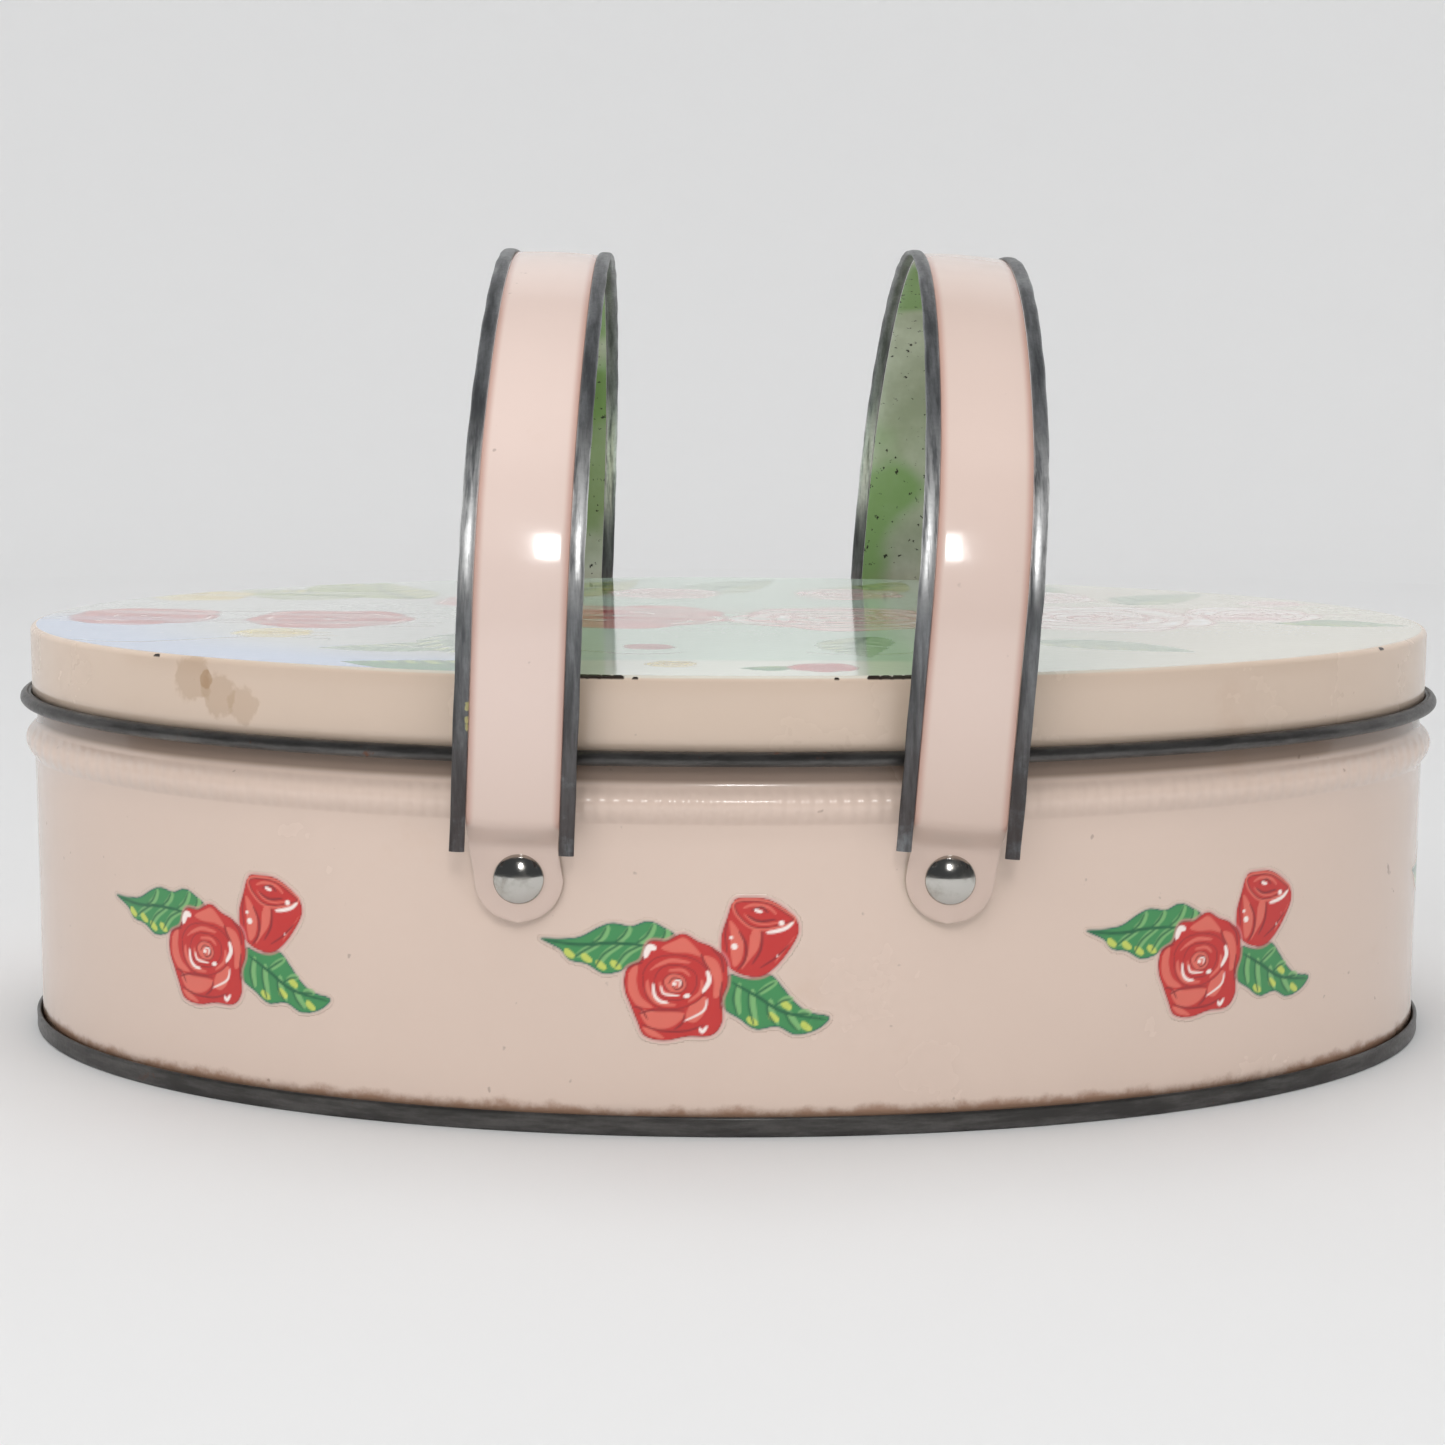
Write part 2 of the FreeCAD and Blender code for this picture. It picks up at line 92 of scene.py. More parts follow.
HEAD_SEAT, HEAD_RADIUS, HEAD_HEIGHT, HEAD_RIM = 80.3 * MM, 3.95 * MM, 1.7 * MM, 0.3 * MM

RIPPLE = 2.15 * MM
ROUND = 448
PRINT_STEP, LID_STEP = 0.25 * MM, 0.6 * MM


# ---------------------------------------------------------------------------
# Meshes

def add_mesh(name, verts, faces, materials, body, replaces=(), material_of=None):
    """A smooth-shaded mesh piece that rides on a body and takes a slot's finish."""
    mesh = bpy.data.meshes.new(name)
    mesh.from_pydata([tuple(v) for v in verts], [], [tuple(int(i) for i in f) for f in faces])
    piece = bpy.data.objects.new(name, mesh)
    bpy.context.scene.collection.objects.link(piece)
    for material in materials:
        mesh.materials.append(material)
    mesh.polygons.foreach_set("use_smooth", [True] * len(mesh.polygons))
    if material_of is not None:
        mesh.polygons.foreach_set("material_index", [int(i) for i in material_of])
    mesh.update()
    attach(piece, body)
    if replaces:
        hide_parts(*replaces)
    return piece


def sharpen(piece, degrees):
    """Keep edges sharper than an angle crisp under smooth shading."""
    piece.data.set_sharp_from_angle(angle=math.radians(degrees))


def oval_point(turn, out, height):
    """A point standing out from the datum oval by a distance along its normal."""
    normal = np.stack([np.cos(turn) / OVAL_X, np.sin(turn) / OVAL_Y], -1)
    normal /= np.linalg.norm(normal, axis=-1, keepdims=True)
    x = OVAL_X * np.cos(turn) + out * normal[..., 0]
    y = OVAL_Y * np.sin(turn) + out * normal[..., 1]
    return np.stack([x, y, np.broadcast_to(height, x.shape)], -1)


def oval_arc_table():
    """Turn and arc length along the wall's outside, starting from the front middle."""
    turn = np.linspace(-math.pi / 2, 1.5 * math.pi, 7201)
    way = oval_point(turn, WALL, 0.0)
    steps = np.linalg.norm(np.diff(way, axis=0), axis=1)
    return turn, np.concatenate([[0.0], np.cumsum(steps)])


ARC_TURN, ARC_LENGTH = oval_arc_table()
GIRTH = ARC_LENGTH[-1]


def turn_at(arc):
    """The oval's parameter at an arc length from the front middle, towards +X."""
    return np.interp(np.mod(arc, GIRTH), ARC_LENGTH, ARC_TURN)


def grid_faces(rows, columns, close_rows=False, close_columns=False):
    """Quads of a grid of points stored row by row."""
    faces = []
    for i in range(rows if close_rows else rows - 1):
        below, above = i * columns, ((i + 1) % rows) * columns
        for j in range(columns if close_columns else columns - 1):
            k = (j + 1) % columns
            faces.append((below + j, below + k, above + k, above + j))
    return faces


def sweep(name, profile, materials, body, replaces=(), inside_from=None, wobble=None):
    """A closed profile of (out, height) points carried round the oval.

    Profile edges from number inside_from on take the second material.
    """
    profile = np.array(profile)
    turns = turn_at(np.arange(ROUND) * GIRTH / ROUND)
    out = np.repeat(profile[:, :1], ROUND, axis=1)
    height = np.repeat(profile[:, 1:], ROUND, axis=1)
    if wobble is not None:
        out = out + wobble(np.broadcast_to(turns, out.shape), height)
    rings = oval_point(np.broadcast_to(turns, out.shape), out, height)
    faces = grid_faces(len(profile), ROUND, True, True)
    material_of = None
    if inside_from is not None:
        material_of = [int(number // ROUND >= inside_from) for number in range(len(faces))]
    return add_mesh(
        name, rings.reshape(-1, 3), faces, materials, body, replaces, material_of
    )


def arc_points(centre, radius, start, end, count):
    """Points along an arc, by angles in degrees."""
    angles = np.radians(np.linspace(start, end, count))
    return [(centre[0] + radius * math.cos(a), centre[1] + radius * math.sin(a)) for a in angles]


def smoothstep(low, high, value):
    """0 below low, 1 above high, and a smooth rise between."""
    t = np.clip((value - low) / (high - low), 0, 1)
    return t * t * (3 - 2 * t)


# ---------------------------------------------------------------------------
# Materials

class Shader:
    """One material's node tree, with short calls for its nodes."""

    def __init__(self, name):
        self.material = bpy.data.materials.new(name)
        self.material.use_nodes = True
        self.tree = self.material.node_tree
        self.surface = self.tree.nodes["Principled BSDF"]

    def node(self, kind, inputs=None, output=0, **settings):
        """Adds a node, sets it up and gives one of its outputs."""
        node = self.tree.nodes.new(kind)
        for key, setting in settings.items():
            setattr(node, key, setting)
        for key, given in (inputs or {}).items():
            self.put(node.inputs[key], given)
        return node.outputs[output]

    def put(self, socket, given):
        """Links an output or sets a constant."""
        if isinstance(given, bpy.types.NodeSocket):
            self.tree.links.new(given, socket)
        elif isinstance(given, tuple) and len(given) == 3 and socket.type == "RGBA":
            socket.default_value = (*given, 1)
        else:
            socket.default_value = given

    def place(self):
        return self.node("ShaderNodeTexCoord", output="Object")

    def noise(self, scale, detail=3.0, roughness=0.5, stretch=None):
        vector = self.place()
        if stretch:
            vector = self.node("ShaderNodeVectorMath", {0: vector, 1: stretch},
                               operation="MULTIPLY")
        return self.node("ShaderNodeTexNoise", {
            "Vector": vector, "Scale": scale, "Detail": detail, "Roughness": roughness})

    def maths(self, operation, a, b=0.0):
        return self.node("ShaderNodeMath", {0: a, 1: b}, operation=operation)

    def rise(self, value, low, high):
        """A smooth rise from 0 at low to 1 at high."""
        return self.node("ShaderNodeMapRange", {
            "Value": value, "From Min": low, "From Max": high},
            interpolation_type="SMOOTHSTEP")

    def mix(self, share, a, b):
        return self.node("ShaderNodeMix", {0: share, 6: a, 7: b}, output=2, data_type="RGBA")

    def tint(self, colour, target, share, strength):
        """Moves a colour towards another where share is high, by at most strength."""
        return self.mix(self.maths("MULTIPLY", share, strength), colour, target)

    def axis(self, number):
        return self.node("ShaderNodeSeparateXYZ", {0: self.place()}, output=number)

    def spot(self, centre, radius, ragged=0.5, scale=900.0):
        """1 near a point, 0 away from it, with a ragged edge."""
        away = self.node("ShaderNodeVectorMath", {0: self.place(), 1: centre},
                         output="Value", operation="DISTANCE")
        bent = self.maths("ADD", self.maths("DIVIDE", away, radius),
                          self.maths("MULTIPLY", self.noise(scale), ragged))
        return self.rise(bent, 1.0 + ragged * 0.5, 0.75 + ragged * 0.5)

    def bump(self, height, distance):
        normal = self.node("ShaderNodeBump", {
            "Height": height, "Distance": distance, "Strength": 1.0})
        self.put(self.surface.inputs["Normal"], normal)

    def finish(self, **inputs):
        """Sets the Principled sockets, named with underscores for spaces."""
        for key, given in inputs.items():
            self.put(self.surface.inputs[key.replace("_", " ")], given)
        return self.material


def enamel_colour(shader, colour, stain):
    """Lacquer colour: soft mottling, faint warm patches and a few fine dark specks."""
    tint = shader.rise(shader.noise(14.0, 4.0), 0.35, 0.7)
    lighter = tuple(min(1.0, c * 1.035) for c in colour)
    ground = shader.mix(tint, colour, lighter)
    patch = shader.rise(shader.noise(45.0, 5.0, 0.6), 0.62, 0.8)
    ground = shader.tint(ground, stain, patch, 0.25)
    speck = shader.rise(shader.noise(420.0, 2.0, 0.4), 0.755, 0.80)
    return shader.tint(ground, (0.12, 0.07, 0.05), speck, 0.35)


def enamel_skin(shader):
    """Fine orange-peel relief of fired lacquer."""
    return shader.noise(650.0, 2.0, 0.5)


PINK = (0.700, 0.552, 0.467)
PINK_STAIN = (0.60, 0.40, 0.27)
PEACH = (0.744, 0.589, 0.472)
RUST = (0.14, 0.045, 0.018)


def wall_enamel():
    """Pink lacquer of the wall, with grime over the seam and a painted shade under the lid."""
    shader = Shader("wall_enamel")
    colour = enamel_colour(shader, PINK, PINK_STAIN)
    height = shader.axis(2)
    ragged = shader.maths("MULTIPLY", shader.noise(160.0, 5.0, 0.65), 5.0 * MM)
    # painted shade: the neck above the bead is darkened where the lid's curl would shade it
    painted_lid_shade = shader.rise(height, BEAD_HIGH - 0.6 * MM, BEAD_HIGH + 0.8 * MM)
    colour = shader.tint(colour, (0.15, 0.10, 0.07), painted_lid_shade, 0.78)
    low = shader.rise(shader.maths("SUBTRACT", height, ragged), 2.6 * MM, 0.6 * MM)
    colour = shader.tint(colour, (0.29, 0.135, 0.065), low, 0.75)
    return shader_with_skin(shader, colour, 0.20, bead_ripple(shader))


def bead_ripple(shader):
    """The faint tool marks rolled across the bead."""
    wave = shader.maths("SINE", shader.maths("MULTIPLY", shader.axis(0), 2 * math.pi / RIPPLE))
    height = shader.axis(2)
    band = shader.maths("MULTIPLY", shader.rise(height, BEAD_LOW, BEAD_LOW + 1.5 * MM),
                        shader.rise(height, BEAD_HIGH, BEAD_HIGH - 1.5 * MM))
    return shader.maths("MULTIPLY", shader.maths("MULTIPLY", wave, band), 4.5)


def shader_with_skin(shader, colour, roughness, relief=None, coat=0.35):
    """Finish a lacquered shader: gloss with a little variation, and its skin relief."""
    smear = shader.rise(shader.noise(32.0, 5.0, 0.6), 0.35, 0.75)
    rough = shader.node("ShaderNodeMapRange", {
        "Value": smear, "To Min": roughness * 0.8, "To Max": roughness * 1.5})
    skin = enamel_skin(shader)
    if relief is not None:
        skin = shader.maths("ADD", skin, relief)
    shader.bump(skin, 0.012 * MM)
    return shader.finish(Base_Color=colour, Roughness=rough, IOR=1.5,
                         Coat_Weight=coat, Coat_Roughness=0.07)


def lid_enamel():
    """Peach lacquer of the lid's skirt, with a brown stain and chips along the corner."""
    shader = Shader("lid_enamel")
    colour = enamel_colour(shader, PEACH, PINK_STAIN)
    edge = shader.rise(shader.axis(2), LID_TOP - 0.55 * MM, LID_TOP - 0.2 * MM)
    sideways = shader.maths("ABSOLUTE", shader.axis(0))
    edge = shader.maths("MULTIPLY", edge, shader.rise(sideways, 85 * MM, 40 * MM))
    colour = shader.mix(edge, colour, (0.77, 0.72, 0.63))
    brown = (0.42, 0.25, 0.12)
    for arc, drop, radius, strength in (
        (-91.0, 3.6, 4.2, 0.34), (-85.5, 5.6, 4.0, 0.34), (-81.0, 7.0, 3.2, 0.3),
        (-88.0, 3.4, 1.6, 0.6),
    ):
        centre = oval_point(turn_at(arc * MM), 0.0, LID_TOP - drop * MM)
        stain = shader.spot(tuple(float(v) for v in centre), radius * MM, 1.1, 420.0)
        colour = shader.tint(colour, brown, stain, strength)
    for arc, drop, radius in (
        (-23.6, 0.3, 1.3), (-21.8, 0.3, 1.3), (-20.0, 0.3, 1.3), (-18.2, 0.3, 1.2),
        (-15.4, 0.5, 0.6), (15.5, 0.3, 0.5), (21.4, 0.3, 1.3), (23.2, 0.3, 1.3),
        (25.0, 0.3, 1.4), (26.8, 0.3, 1.4), (28.4, 0.3, 1.2), (-99.0, 0.6, 0.8),
        (120.0, 0.4, 0.8), (200.0, 0.4, 1.2), (236.0, 0.4, 0.9), (300.0, 0.4, 1.4),
        (-160.0, 0.4, 0.9),
    ):
        centre = oval_point(turn_at(arc * MM), 0.0, LID_TOP - drop * MM)
        chip = shader.spot(tuple(float(v) for v in centre), radius * MM, 0.9, 1500.0)
        flat = shader.rise(shader.axis(2), LID_TOP - 0.72 * MM, LID_TOP - 0.42 * MM)
        colour = shader.mix(shader.maths("MULTIPLY", chip, flat), colour, (0.03, 0.02, 0.015))
    return shader_with_skin(shader, colour, 0.24)


def handle_enamel():
    """Pink lacquer of the handles: darker towards the foot, a painted shade on the right handle, red by
    the hems.
    """
    shader = Shader("handle_enamel")
    colour = enamel_colour(shader, (0.750, 0.598, 0.535), PINK_STAIN)
    # darker towards the foot
    darker_foot_and_right_shade = shader.maths("MULTIPLY", shader.rise(shader.axis(2), 74 * MM, 38 * MM), 0.85)
    # painted shade: the right handle is darkened as if it got less light
    right = shader.rise(shader.axis(0), 0.0, 10 * MM)
    darker_foot_and_right_shade = shader.maths("ADD", darker_foot_and_right_shade, shader.maths("MULTIPLY", right, 0.35))
    colour = shader.mix(darker_foot_and_right_shade, colour, (0.615, 0.475, 0.405))
    edge = shader.rise(shader.node("ShaderNodeAttribute", output="Fac", attribute_name="edge"),
                       0.80, 1.0)
    colour = shader.tint(colour, (0.50, 0.24, 0.18), edge, 0.6)
    return shader_with_skin(shader, colour, 0.17)


def bare_tin(name, dark, light, rust_share, rough, stretch=(1.0, 1.0, 1.0), metallic=1.0,
             marks_and_highlight=None):
    """Bare, darkened tinplate: brushed along its length, blotched and freckled with rust."""
    shader = Shader(name)
    blotch = shader.rise(shader.noise(150.0, 5.0, 0.65, stretch=stretch), 0.35, 0.7)
    colour = shader.mix(blotch, dark, light)
    # extra marks; for the hems this also adds a painted highlight round the bend
    if marks_and_highlight is not None:
        colour = marks_and_highlight(shader, colour)
    grain = shader.noise(1400.0, 2.0, 0.5)
    colour = shader.tint(colour, dark, grain, 0.35)
    rusty = shader.rise(shader.noise(260.0, 6.0, 0.7), 0.72 - 0.2 * rust_share, 0.80 - 0.2 * rust_share)
    rusty = shader.maths("MULTIPLY", rusty, shader.rise(shader.noise(22.0, 3.0), 0.45, 0.62))
    colour = shader.tint(colour, RUST, rusty, 0.9)
    metal = shader.maths("SUBTRACT", metallic, shader.maths("MULTIPLY", rusty, 0.9 * metallic))
    roughness = shader.node("ShaderNodeMapRange", {
        "Value": shader.maths("ADD", grain, rusty), "To Min": rough * 0.8, "To Max": rough * 1.7})
    shader.bump(shader.maths("ADD", grain, shader.noise(300.0, 4.0)), 0.02 * MM)
    return shader.finish(Base_Color=colour, Metallic=metal, Roughness=roughness)


def hem_marks_and_highlight(shader, colour):
    """The hems: a painted highlight round the bend, rusty at the foot, a yellow smear on one."""
    height = shader.axis(2)
    # painted highlight: the hems are lightened round the bend, where they would catch the light
    bend_highlight_painted = shader.maths("MULTIPLY", shader.rise(height, 80 * MM, 92 * MM),
                          shader.rise(height, 114 * MM, 98 * MM))
    streak = shader.rise(shader.noise(260.0, 3.0, 0.6, stretch=(4.0, 0.5, 0.35)), 0.30, 0.58)
    colour = shader.mix(shader.maths("MULTIPLY", bend_highlight_painted, streak), colour, (0.98, 0.98, 0.97))
    foot = shader.maths("MULTIPLY", shader.rise(height, 84 * MM, 48 * MM),
                        shader.rise(shader.noise(120.0, 5.0, 0.7), 0.30, 0.52))
    colour = shader.tint(colour, (0.05, 0.028, 0.022), foot, 0.75)
    for smear_height in (65.0, 66.3, 68.2):
        smear = shader.spot((-40.4 * MM, -85.3 * MM, smear_height * MM), 0.9 * MM, 1.2, 1300.0)
        colour = shader.tint(colour, (0.72, 0.66, 0.28), smear, 0.8)
    return colour


def mottled_tin():
    """The handles' inside: dull tinplate with a painted reflection of the lid's green print, as a green
    cast and patches, and dark pin specks.
    """
    shader = Shader("mottled_tin")
    blotch = shader.rise(shader.noise(38.0, 5.0, 0.6, stretch=(1.0, 0.5, 1.0)), 0.36, 0.66)
    colour = shader.mix(blotch, (0.42, 0.46, 0.34), (0.70, 0.74, 0.63))
    # painted reflection: green patches standing in for the lid's leaves mirrored in the tin
    leaf_reflection_painted = shader.rise(shader.noise(24.0, 2.0, 0.5), 0.50, 0.57)
    colour = shader.tint(colour, (0.20, 0.40, 0.10), leaf_reflection_painted, 0.75)
    # painted reflection: a broad green patch of the lid's print mirrored in the tin
    stain = shader.spot((-24 * MM, 78 * MM, 104 * MM), 24 * MM, 0.9, 60.0)
    colour = shader.tint(colour, (0.17, 0.29, 0.07), stain, 0.65)
    speck = shader.rise(shader.noise(620.0, 3.0, 0.6), 0.63, 0.69)
    colour = shader.mix(speck, colour, (0.03, 0.028, 0.022))
    rough = shader.node("ShaderNodeMapRange", {
        "Value": blotch, "To Min": 0.30, "To Max": 0.48})
    shader.bump(shader.noise(500.0, 3.0), 0.02 * MM)
    return shader.finish(Base_Color=colour, Metallic=0.3, Roughness=rough)


def nickel():
    """Polished nickel of the rivets, with a fine bumpy skin and tarnish."""
    shader = Shader("nickel")
    tarnish = shader.rise(shader.noise(330.0, 4.0, 0.6), 0.45, 0.75)
    colour = shader.mix(shader.maths("MULTIPLY", tarnish, 0.6), (0.60, 0.585, 0.55), (0.33, 0.30, 0.25))
    rough = shader.node("ShaderNodeMapRange", {
        "Value": tarnish, "To Min": 0.13, "To Max": 0.30})
    shader.bump(shader.noise(900.0, 3.0, 0.6), 0.006 * MM)
    return shader.finish(Base_Color=colour, Metallic=1.0, Roughness=rough)


def printed(name, ground=None, roughness=0.16):
    """Printed picture under lacquer: its paint is stored on the mesh as a colour."""
    shader = Shader(name)
    paint = shader.node("ShaderNodeAttribute", attribute_name="paint")
    colour = paint
    if ground is not None:
        cover = shader.node("ShaderNodeAttribute", output="Alpha", attribute_name="paint")
        colour = shader.mix(cover, enamel_colour(shader, *ground), paint)
    return shader_with_skin(shader, colour, roughness, coat=0.35 if ground else 0.5)


# ---------------------------------------------------------------------------
# Painting: flowers and leaves worked out point by point on a mesh

def hue(red, green, blue):
    """A colour on the 0-255 screen scale as linear light."""
    screen = np.array([red, green, blue]) / 255.0
    return np.where(screen <= 0.04045, screen / 12.92, ((screen + 0.055) / 1.055) ** 2.4)


class Picture:
    """Points in millimetres, each with a colour and how much of it covers the ground."""

    def __init__(self, x, y, ground, blur):
        self.x, self.y, self.blur = x, y, blur
        self.rgb = np.array(ground, float) * np.ones((len(x), 1))
        self.cover = np.zeros(len(x))

    def lay(self, where, depth, colour, strength=1.0):
        """Paints where depth (in mm, positive inside) is above zero, on the chosen points."""
        share = np.clip(0.5 + depth / self.blur, 0, 1) * strength
        old = self.rgb[where]
        self.rgb[where] = old + share[:, None] * (colour - old)
        self.cover[where] = np.maximum(self.cover[where], share)

    def near(self, x, y, reach):
        """The points within a square round a place, and their offsets from it."""
        where = np.nonzero((abs(self.x - x) < reach) & (abs(self.y - y) < reach))[0]
        return where, self.x[where] - x, self.y[where] - y

    def loop(self, points, colour, grow=0.0, strength=1.0):
        """Fills a smooth closed outline, grown outwards by a distance."""
        line = smooth_line(points, True)
        middle, reach = (line.max(0) + line.min(0)) / 2, (line.max(0) - line.min(0)).max() / 2
        where, dx, dy = self.near(middle[0], middle[1], reach + grow + 0.5)
        place = np.stack([dx, dy], -1) + middle
        away, _ = away_from(place, line)
        self.lay(where, np.where(inside_of(place, line), away, -away) + grow, colour, strength)

    def stroke(self, points, width, colour, strength=1.0):
        """A brush stroke along a smooth open line, thinning to both ends."""
        line = smooth_line(points, False)
        middle, reach = (line.max(0) + line.min(0)) / 2, (line.max(0) - line.min(0)).max() / 2
        where, dx, dy = self.near(middle[0], middle[1], reach + width + 0.5)
        away, along = away_from(np.stack([dx, dy], -1) + middle, line)
        swell = np.sqrt(np.clip(4 * along * (1 - along), 0, 1))
        self.lay(where, width * (0.25 + 0.75 * swell) - away, colour, strength)

    def dot(self, x, y, radius, colour):
        """A round dab."""
        where, dx, dy = self.near(x, y, radius + 0.5)
        self.lay(where, radius - np.hypot(dx, dy), colour)


def smooth_line(points, closed):
    """A smooth line through a few points, as many short steps."""
    points = np.array(points, float)
    count = len(points)
    if closed:
        ring = np.concatenate([points[-1:], points, points[:2]])
    else:
        ring = np.concatenate([points[:1], points, points[-1:]])
    t = np.linspace(0, 1, 7)[:-1, None]
    pieces = []
    for i in range(count if closed else count - 1):
        a, b, c, d = ring[i:i + 4]
        pieces.append(0.5 * (2 * b + (c - a) * t + (2 * a - 5 * b + 4 * c - d) * t ** 2
                             + (3 * b - a - 3 * c + d) * t ** 3))
    line = np.concatenate(pieces)
    return line if closed else np.concatenate([line, points[-1:]])


def away_from(place, line):
    """Each place's distance from a line, and how far along the line (0 to 1) it is nearest."""
    start, step = line[:-1], np.diff(line, axis=0)
    gap = place[:, None] - start
    share = np.clip((gap * step).sum(-1) / np.maximum((step ** 2).sum(-1), 1e-12), 0, 1)
    away = np.linalg.norm(gap - share[..., None] * step, axis=-1)
    nearest = away.argmin(1)
    rows = np.arange(len(place))
    return away[rows, nearest], (nearest + share[rows, nearest]) / len(step)


def inside_of(place, line):
    """Whether each place is inside a closed line."""
    x, y = place[:, :1], place[:, 1:]
    x1, y1 = line[:, 0], line[:, 1]
    x2, y2 = np.roll(x1, -1), np.roll(y1, -1)
    crosses = (y1 > y) != (y2 > y)
    level = np.where(crosses, y2 - y1, 1.0)
    return (crosses & (x < (x2 - x1) * (y - y1) / level + x1)).sum(1) % 2 == 1


REDS = {"deep": hue(138, 24, 30), "body": hue(198, 40, 36), "light": hue(224, 106, 90),
        "blush": hue(222, 140, 142), "line": hue(122, 22, 30), "glint": hue(252, 236, 230),
        "tints": 1.0}
ROSE_PINKS = {"deep": hue(190, 70, 74), "body": hue(226, 116, 112), "light": hue(246, 186, 176),
              "line": hue(160, 52, 60), "glint": hue(255, 246, 240), "tints": 1.0}
PALE_PINKS = {"deep": hue(216, 120, 122), "body": hue(244, 206, 198), "light": hue(252, 238, 232),
              "line": hue(196, 84, 92), "glint": hue(255, 252, 248), "tints": 0.8}
WHITES = {"deep": hue(222, 140, 142), "body": hue(246, 236, 228), "light": hue(255, 252, 248),
          "line": hue(206, 96, 104), "glint": hue(255, 255, 255), "tints": 0.7}
YELLOWS = {"deep": hue(206, 158, 52), "body": hue(238, 212, 96), "light": hue(250, 238, 160),
           "line": hue(160, 116, 44), "glint": hue(255, 252, 230), "tints": 1.0}
GREENS = {"deep": hue(20, 98, 58), "body": hue(58, 140, 80), "light": hue(132, 188, 118),
          "tip": hue(204, 214, 96), "line": hue(26, 98, 84)}
OLIVES = {"deep": hue(92, 122, 52), "body": hue(142, 168, 78), "light": hue(196, 208, 120),
          "tip": hue(228, 220, 120), "line": hue(74, 98, 52)}
SAGES = {"deep": hue(92, 130, 98), "body": hue(142, 176, 142), "light": hue(192, 214, 184),
         "tip": hue(214, 220, 160), "line": hue(80, 112, 100)}

# each ring of petals: rim as a share of the radius, petals, and where the first one points
PETAL_RINGS = ((1.0, 5, 0.5), (0.83, 5, 1.2), (0.64, 4, 0.1), (0.47, 4, 0.9), (0.32, 3, 0.4),
               (0.18, 2, 1.6))


def paint_rose(picture, x, y, radius, inks, turn, seed):
    """An open rose: rings of overlapping petals, each lit from the upper left."""
    rng = np.random.default_rng(seed)
    where, dx, dy = picture.near(x, y, radius * 1.15)
    away = np.hypot(dx, dy) / radius
    angle = np.arctan2(dy, dx)
    line = max(0.020, 0.16 / radius)
    for rim_share, petals, start in PETAL_RINGS:
        half_width = math.pi / petals * 1.28
        for petal in range(petals):
            middle = turn + start + petal * 2 * math.pi / petals + rng.uniform(-0.16, 0.16)
            size = rim_share * (1 + rng.uniform(-0.05, 0.03))
            across = (np.mod(angle - middle + math.pi, 2 * math.pi) - math.pi) / half_width
            ruffle = 0.030 * np.sin(across * 5.2 + rng.uniform(0, 6)) * rim_share
            rim = size * (1 - 0.20 * np.abs(across) ** 2.6) + ruffle
            inside = np.minimum(rim - away, (1 - np.abs(across)) * half_width * away)
            picture.lay(where, (inside + line) * radius, inks["line"])
            picture.lay(where, inside * radius, inks["body"])
            lit = 0.5 + 0.5 * math.cos(middle - 2.2)
            band = np.minimum(inside - 0.035, 0.05 + 0.13 * rim_share - inside)
            side = 0.55 - across * (1 if lit > 0.5 else -1)
            picture.lay(where, np.minimum(band, side * 0.2) * radius, inks["light"], 0.45 + 0.5 * lit)
            fold = (0.16 + 0.10 * rim_share) * (1 + 0.3 * np.cos(across * 2.4)) - (rim - away)
            picture.lay(where, np.minimum(-fold, inside) * radius, inks["deep"], 0.55 * inks["tints"])
            if rng.uniform() < 0.36:
                glint = 0.018 + 0.3 * line - np.abs(inside - 0.075 - 0.03 * across)
                ends = 0.34 - np.abs(across + rng.uniform(-0.4, 0.4))
                picture.lay(where, np.minimum(glint, ends * 0.2) * radius, inks["glint"], 0.95)
    swirl = np.mod(away * 22 - angle, 2 * math.pi) / 22
    heart = np.minimum(0.17 - away, 0.055 - swirl)
    picture.lay(where, heart * radius, inks["line"], 0.8)
    picture.lay(where, (0.045 - np.hypot(away * np.cos(angle) + 0.03,
                                         away * np.sin(angle) - 0.03)) * radius, inks["glint"])


